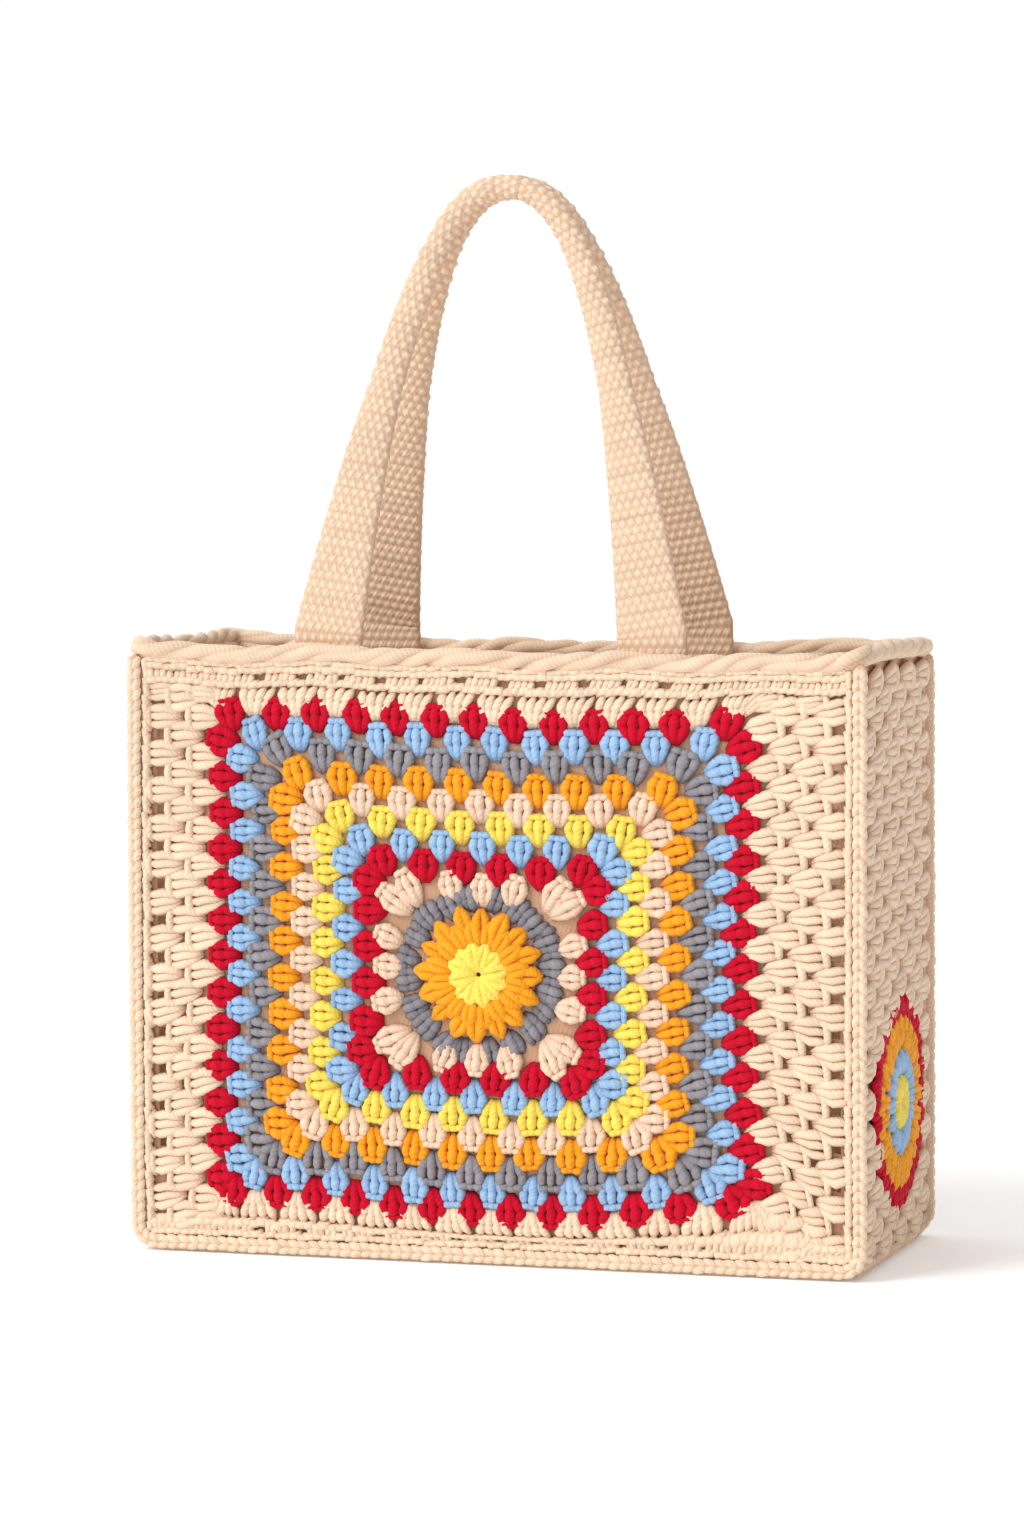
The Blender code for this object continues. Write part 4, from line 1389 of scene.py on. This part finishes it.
@dataclass
class Handle:
    """Crocheted band that folds lengthways into a thick cord over its arch.

    Each row of folds gives a share of the rise, how far the band has folded there and how far it
    has come in towards the other handle.
    """

    prefix: str
    side: int
    shift: float
    wardrobe: Wardrobe
    seed: int
    rise: float = 0.242
    tuck: float = 0.022
    width: float = 0.038
    thickness: float = 0.006
    top_height: float = 0.0135
    top_depth: float = 0.0128
    span: float = 0.174
    arch_shift: float = -0.011
    arch_power: float = 2.38
    clearance: float = 0.0004
    row: float = 0.0045
    stitch: float = 0.0023
    relief_height: float = 1.5 * MM
    row_power: float = 0.6
    lobe_swing: float = 0.38
    groove_depth: float = 0.45
    groove_width: float = 0.22
    edge_share: float = 0.10
    edge_height: float = 0.35
    groove_light: float = 0.25
    relief_light: float = 0.8
    pole_light: float = 0.2
    flat_blunt: float = 0.55
    tone_rows: int = 5
    pair_lean: float = 1.1
    waver: float = 0.15
    waver_length: float = 6 * MM
    around: int = 80
    along: int = 600
    line_points: int = 1200
    tuck_points: int = 60
    smoothings: int = 12
    fine_angles: int = 361
    folds: tuple[tuple[float, float, float], ...] = (
        (0.00, 0.00, 0.00),
        (0.20, 0.28, 0.20),
        (0.40, 0.55, 0.41),
        (0.55, 0.77, 0.58),
        (0.65, 0.82, 0.70),
        (0.75, 0.87, 0.81),
        (0.88, 0.97, 0.93),
        (1.00, 1.00, 1.00),
    )

    def folded(self, share: Array) -> tuple[Array, Array]:
        """Fold and way in at shares of the rise."""
        table = np.array(self.folds)
        return np.interp(share, table[:, 0], table[:, 1]), np.interp(share, table[:, 0], table[:, 2])

    def line(self) -> tuple[Array, Array]:
        """Centre line at equal steps and the share of the rise there.

        Above the rim, z falls from the top with the power of the distance from the middle, x
        follows that distance, and y comes in from the face to the other handle.
        """
        spread = np.linspace(-1, 1, self.line_points)
        share = 1 - np.abs(spread) ** self.arch_power
        inset = BAG.half_depth - BAG.rope - self.clearance - self.thickness / 2
        hand = np.where(spread < 0, -1, 1)
        inner = self.shift + hand * (self.span - self.width) / 2
        face, top = np.full_like(inner, self.side * inset), np.full_like(inner, BAG.height)
        band_y = BAG.carry(np.stack([inner, face, top], axis=-1))[:, 1]
        top_y = self.side * (self.top_depth + self.clearance) / 2
        x = self.arch_shift + (self.shift - self.arch_shift) * spread**2 + spread * self.span / 2
        y = band_y + (top_y - band_y) * self.folded(share)[1]
        lift = self.rise - self.top_height / 2 - BAG.rope / 2
        z = BAG.height + BAG.rope / 2 + lift * share
        points = np.stack([x, y, z], axis=-1)
        count = self.tuck_points
        drop = np.linspace(BAG.height - self.tuck, BAG.height + BAG.rope / 2, count, endpoint=False)
        first = np.stack([np.full(count, x[0]), np.full(count, y[0]), drop], axis=-1)
        last = np.stack([np.full(count, x[-1]), np.full(count, y[-1]), drop[::-1]], axis=-1)
        points = np.concatenate([first, points, last])
        share = np.concatenate([np.zeros(count), share, np.zeros(count)])
        for _ in range(self.smoothings):
            points[1:-1] = (points[:-2] + 2 * points[1:-1] + points[2:]) / 4
        marks = np.concatenate([[0], np.cumsum(np.linalg.norm(np.diff(points, axis=0), axis=1))])
        steps = np.linspace(0, marks[-1], self.along)
        even = np.stack([np.interp(steps, marks, points[:, k]) for k in range(3)], axis=-1)
        self.length = marks[-1]
        return even, np.interp(steps, marks, share)

    def outline(
        self, angles: Array, half_width: Array, half_thick: Array, blunt: Array
    ) -> tuple[Array, Array]:
        """Places across and out of each section: a half size times a cosine or sine to a power."""
        c, s = np.cos(angles), np.sin(angles)
        u = np.sign(c) * np.abs(c) ** blunt * half_width[:, None]
        v = np.sign(s) * np.abs(s) ** blunt * half_thick[:, None]
        return u, v

    def even_angles(self, half_width: Array, half_thick: Array, blunt: Array) -> Array:
        """Angles of each section, (along, around), that lie at even steps round its outline."""
        fine = np.linspace(0, TURN, self.fine_angles)
        u, v = self.outline(fine, half_width, half_thick, blunt)
        steps = np.hypot(np.diff(u, axis=1), np.diff(v, axis=1))
        marks = np.concatenate([np.zeros((len(u), 1)), np.cumsum(steps, axis=1)], axis=1)
        shares = np.arange(self.around) / self.around
        return np.stack([np.interp(shares * mark[-1], mark, fine) for mark in marks])

    def stitch_relief(self, run: Array, u: Array, half_width: Array) -> Array:
        """How far the stitches stand up, from 0 to 1.

        A row is a power of a half sine of the length along the band. Across it lies a lobe for
        every two stitches, moved by half from row to row. Each second row ends in a groove, and
        the band's edges are lower.
        """
        row = run / self.row
        whole = np.floor(row)
        shift = np.where(whole % 2 == 0, 0.0, 0.5)
        pebble = np.sin(np.pi * (row - whole)) ** self.row_power
        swing = np.cos(TURN * (u / (2 * self.stitch) + shift))
        lobes = 1 - self.lobe_swing + self.lobe_swing * swing
        last = 1 - np.abs(np.mod(row, 2) - 1)
        groove = 1 - self.groove_depth * np.exp(-((last / self.groove_width) ** 2))
        edge = (1.0 - np.abs(u) / half_width[:, None]) / self.edge_share
        return pebble * lobes * groove * np.clip(edge, self.edge_height, 1)

    def loft(self, rings: Array) -> tuple[Array, Array, Array]:
        """Points, quads and triangles of a closed loft through rings, with a pole at each end."""
        count, sides = rings.shape[:2]
        row, spot = np.meshgrid(np.arange(count - 1), np.arange(sides), indexing="ij")
        after = (spot + 1) % sides
        corners = ((row, spot), (row, after), (row + 1, after), (row + 1, spot))
        quads = np.stack([r * sides + k for r, k in corners], axis=-1).reshape(-1, 4)
        first, last = count * sides + np.arange(2)
        k = np.arange(sides)
        end = (count - 1) * sides
        start = np.stack([np.full(sides, first), (k + 1) % sides, k], axis=-1)
        stop = np.stack([np.full(sides, last), end + k, end + (k + 1) % sides], axis=-1)
        poles = rings[[0, -1]].mean(axis=1)
        return np.concatenate([rings.reshape(-1, 3), poles]), quads, np.concatenate([start, stop])

    def build(self) -> None:
        """Builds the band as a closed loft with its stitches raised in rows across it."""
        rng = np.random.default_rng(self.seed)
        points, share = self.line()
        fold, _ = self.folded(share)
        along = unit(np.gradient(points, axis=0))
        outward = np.array([0.0, float(self.side), 0.0])
        normal = unit(outward - along * (along @ outward)[:, None])
        across = np.cross(along, normal)
        half_width = (self.width + (self.top_height - self.width) * fold) / 2
        half_thick = (self.thickness + (self.top_depth - self.thickness) * fold) / 2
        blunt = (self.flat_blunt + (1 - self.flat_blunt) * fold)[:, None]
        angles = self.even_angles(half_width, half_thick, blunt)
        u, v = self.outline(angles, half_width, half_thick, blunt)
        ones = np.ones(len(points))
        facing_u, facing_v = self.outline(angles, ones, ones, 2 - blunt)
        facing = unit(np.stack([facing_u / half_width[:, None], facing_v / half_thick[:, None]], axis=-1))
        run = np.linspace(0, self.length, self.along)[:, None]
        relief = self.stitch_relief(run, u, half_width)
        lift = (relief - 0.5) * self.relief_height
        u, v = u + facing[..., 0] * lift, v + facing[..., 1] * lift
        rings = points[:, None] + across[:, None] * u[..., None] + normal[:, None] * v[..., None]
        band, quads, triangles = self.loft(rings)
        # Painted shade: the band is darker in its grooves and lower edges, lighter on the raised stitches,
        # and shaded at its two poles.
        light = np.clip(self.groove_light + self.relief_light * relief, 0, 1).ravel()
        depth = np.concatenate([light, np.full(2, self.pole_light)])
        lean = self.pair_lean * np.abs(np.mod(run / self.row, 2) - 1)
        lean = lean + self.waver * np.sin(run / self.waver_length)
        girth = (u / self.stitch + lean) / 3
        uv = np.stack([np.zeros_like(u), girth], axis=-1).reshape(-1, 2)[quads]
        tones = rng.uniform(-1, 1, self.along // self.tone_rows + 1).repeat(self.tone_rows)[: self.along]
        tone = np.concatenate([tones.repeat(self.around), np.zeros(2)])
        surface = Surface(band, quads, triangles, uv, np.zeros((len(triangles), 3, 2)), depth, tone)
        self.wardrobe.dress(surface, f"{self.prefix}_handle_band", Yarn.BEIGE, f"{self.prefix}_handle")


@dataclass
class Base:
    """Bottom panel with turned-up ends, rows raised on its underside and a chain along each end."""

    wardrobe: Wardrobe
    seed: int = 41
    along: int = 110
    across: int = 64
    row: float = 5.0 * MM
    stitch: float = 4.4 * MM
    relief_height: float = 1.2 * MM
    row_power: float = 0.6
    lobe_swing: float = 0.3
    inner_lift: float = 1.0 * MM
    inner_light: float = 0.5
    tone_spread: float = 0.3
    chain_angle: float = math.radians(40)
    chain_sunk: float = 1.0 * MM
    chain_points: int = 60
    chain_apart: float = 1.8
    chain_height: float = 1.2

    def __post_init__(self) -> None:
        """Works out where the flat of the base ends."""
        self.bend = BAG.half_width - BAG.rope_proud - BAG.base_corner

    def stitch_relief(self, t: Array, y: Array) -> Array:
        """How far the stitches stand up: a power of a half wave for each row, times its lobes."""
        row = y[None] / self.row
        swing = np.cos(TURN * (t[:, None] / self.stitch + np.floor(row) * 0.5))
        return np.abs(np.cos(np.pi * row)) ** self.row_power * (1 - self.lobe_swing + self.lobe_swing * swing)

    def slab(self, rng: np.random.Generator) -> Surface:
        """A slab between an outer and an inner sheet.

        The outer sheet runs flat under the bag and up a quarter circle at each end; the inner
        sheet follows it one wall further in.
        """
        reach = self.bend + BAG.base_corner * math.pi / 2
        t = np.linspace(-reach, reach, self.along)
        half = BAG.half_depth - BAG.rope / 2
        y = np.linspace(-half, half, self.across)
        turn = np.clip((np.abs(t) - self.bend) / BAG.base_corner, 0, math.pi / 2)[:, None]
        flat_x = np.sign(t)[:, None] * np.minimum(np.abs(t), self.bend)[:, None]
        relief = self.stitch_relief(t, y)
        sheets = []
        for inward, bump in ((0.0, self.relief_height), (BAG.wall - self.inner_lift, 0.0)):
            radius = BAG.base_corner - inward - bump * (1 - relief)
            x = flat_x + np.sign(t)[:, None] * radius * np.sin(turn)
            z = BAG.base_corner - radius * np.cos(turn)
            sheets.append(BAG.carry(np.stack([x, np.broadcast_to(y[None], x.shape), z], axis=-1)))
        index = np.arange(t.size * y.size).reshape(t.size, y.size)
        cells = [index[:-1, :-1], index[:-1, 1:], index[1:, 1:], index[1:, :-1]]
        under = np.stack(cells, axis=-1).reshape(-1, 4)
        above = under[:, ::-1] + index.size
        edge = np.concatenate([index[:, 0], index[-1, 1:], index[-2::-1, -1], index[0, -2:0:-1]])
        after = np.roll(edge, -1)
        wall = np.stack([edge, after, after + index.size, edge + index.size], axis=-1)
        quads = np.concatenate([under, above, wall])
        points = np.stack(sheets).reshape(-1, 3)
        # Painted shade: the outer sheet is darker in the grooves between rows and the inner sheet is painted
        # at half light.
        depth = np.concatenate([np.clip(relief, 0, 1).ravel(), np.full(index.size, self.inner_light)])
        tone = rng.uniform(-self.tone_spread, self.tone_spread, len(points))
        return four_sided(points, quads, points[quads][..., :2] / MM, depth, tone)

    def edge_chain(self, hand: int, rng: np.random.Generator) -> Surface:
        """Chain stitches along the lower edge of one side, on the bend of the base."""
        half, count = BAG.half_depth - BAG.rope, self.chain_points
        radius = BAG.base_corner - self.chain_sunk
        c, s = math.cos(self.chain_angle), math.sin(self.chain_angle)
        x = np.full(count, hand * (self.bend + radius * c))
        z = np.full(count, BAG.base_corner - radius * s)
        points = BAG.carry(np.stack([x, np.linspace(-half, half, count), z], axis=-1))
        route = Route(points, np.tile([hand * c, 0.0, -s], (count, 1)))
        return Surface.joined(chain_rows(route, self.chain_apart, self.chain_height, rng))

    def build(self) -> None:
        """Builds the slab and the chains at its ends as one piece."""
        rng = np.random.default_rng(self.seed)
        surface = Surface.joined([self.slab(rng), self.edge_chain(-1, rng), self.edge_chain(1, rng)])
        self.wardrobe.dress(surface, "base_panel_rows", Yarn.BEIGE, "base_panel")


@dataclass(frozen=True)
class Studio:
    """Camera at the photograph's angle, pale floor and soft light."""

    azimuth: float = math.radians(17.40)
    elevation: float = math.radians(4.18)
    roll: float = -0.0055
    distance: float = 8.6606
    shift_right: float = 0.0346
    shift_up: float = -0.2877
    focal_pixels: float = 5247.5
    image_height: float = 1536.0
    sensor: float = 36.0
    sun_strength: float = 1.35
    sun_softness: float = 26.0
    sun_direction: tuple[float, float, float] = (0.55, 0.62, -0.75)
    right_share: float = 0.36
    fade_end: float = 0.8
    reach: float = 50.0
    floor_roughness: float = 0.9
    floor_half: float = 6.0
    floor_glow: float = 0.16
    floor_colour: tuple[float, ...] = (0.95, 0.95, 0.95, 1.0)
    white: tuple[float, ...] = (1.0, 1.0, 1.0, 1.0)

    def camera(self) -> None:
        """Places the camera: distances are in heights of the bag's body."""
        ca, sa = math.cos(self.azimuth), math.sin(self.azimuth)
        ce, se = math.cos(self.elevation), math.sin(self.elevation)
        depth = Vector((-sa * ce, ca * ce, -se))
        right = Vector((ca, sa, 0))
        up = Vector((-sa * se, ca * se, ce))
        middle = Vector((0, 0, BAG.height / 2))
        offset = depth * self.distance + right * self.shift_right + up * self.shift_up
        place = middle - offset * BAG.height
        cr, sr = math.cos(self.roll), math.sin(self.roll)
        rolled_right = right * cr + up * sr
        rolled_up = up * cr - right * sr
        matrix = Matrix((rolled_right, rolled_up, -depth)).transposed().to_4x4()
        matrix.translation = place
        data = bpy.data.cameras.new("photo_camera")
        data.sensor_fit = "AUTO"
        data.sensor_width = self.sensor
        data.lens = self.focal_pixels * self.sensor / self.image_height
        data.clip_end = self.reach
        camera = bpy.data.objects.new("photo_camera", data)
        camera.matrix_world = matrix
        bpy.context.scene.collection.objects.link(camera)
        bpy.context.scene.camera = camera

    def floor(self) -> None:
        """A large pale sheet of floor."""
        half = self.floor_half
        mesh = bpy.data.meshes.new("studio_floor")
        corners = [(-half, -half, 0), (half, -half, 0), (half, half, 0), (-half, half, 0)]
        mesh.from_pydata(corners, [], [(0, 1, 2, 3)])
        piece = bpy.data.objects.new("studio_floor", mesh)
        bpy.context.scene.collection.objects.link(piece)
        material = bpy.data.materials.new("studio_floor")
        nodes = Nodes(material)
        nodes.shader.inputs["Base Color"].default_value = self.floor_colour
        nodes.shader.inputs["Emission Color"].default_value = self.white
        nodes.shader.inputs["Emission Strength"].default_value = self.floor_glow
        nodes.dull(self.floor_roughness, 0.0)
        mesh.materials.append(material)

    def sun(self) -> None:
        """Adds a soft sun high on the left, in front of the bag."""
        data = bpy.data.lights.new("key_sun", "SUN")
        data.energy = self.sun_strength
        data.angle = math.radians(self.sun_softness)
        lamp = bpy.data.objects.new("key_sun", data)
        lamp.rotation_euler = Vector(self.sun_direction).to_track_quat("-Z", "Y").to_euler()
        bpy.context.scene.collection.objects.link(lamp)

    def surroundings(self) -> None:
        """White surroundings that grow dimmer towards the right of the bag."""
        world = bpy.data.worlds.new("studio_world")
        world.use_nodes = True
        tree = world.node_tree
        place = tree.nodes.new("ShaderNodeTexCoord")
        split = tree.nodes.new("ShaderNodeSeparateXYZ")
        fade = tree.nodes.new("ShaderNodeMapRange")
        tree.links.new(place.outputs["Generated"], split.inputs[0])
        tree.links.new(split.outputs["X"], fade.inputs["Value"])
        fade.inputs["From Min"].default_value = 0.0
        fade.inputs["From Max"].default_value = self.fade_end
        fade.inputs["To Min"].default_value = 1.0
        fade.inputs["To Max"].default_value = self.right_share
        background = tree.nodes["Background"]
        background.inputs["Color"].default_value = self.white
        tree.links.new(fade.outputs["Result"], background.inputs["Strength"])
        bpy.context.scene.world = world

    def build(self) -> None:
        """Sets up the whole studio."""
        self.camera()
        self.floor()
        self.surroundings()
        self.sun()
        bpy.context.scene.view_settings.view_transform = "Standard"


def main() -> None:
    """Builds the bag piece by piece, then the studio."""
    logging.basicConfig(level=logging.INFO, format="%(name)s %(message)s")
    wardrobe = Wardrobe()
    pieces = (
        GrannyFace("front", turn=0.0, wardrobe=wardrobe, seed=11),
        GrannyFace("back", turn=math.pi, wardrobe=wardrobe, seed=12),
        SidePanel("right", turn=math.pi / 2, flower_shift=0.006, wardrobe=wardrobe, seed=21),
        SidePanel("left", turn=-math.pi / 2, flower_shift=-0.006, wardrobe=wardrobe, seed=22),
        Base(wardrobe),
        Rim(wardrobe),
        Seam("front", side=-1, wardrobe=wardrobe, seed=33),
        Seam("back", side=1, wardrobe=wardrobe, seed=34),
        Handle("front", side=-1, shift=-0.006, wardrobe=wardrobe, seed=51),
        Handle("back", side=1, shift=-0.012, wardrobe=wardrobe, seed=52),
    )
    for piece in pieces:
        piece.build()
    LOG.info("all pieces: %d triangles", wardrobe.triangles)
    Studio().build()
    bpy.context.view_layer.update()


if __name__ == "__main__":
    main()
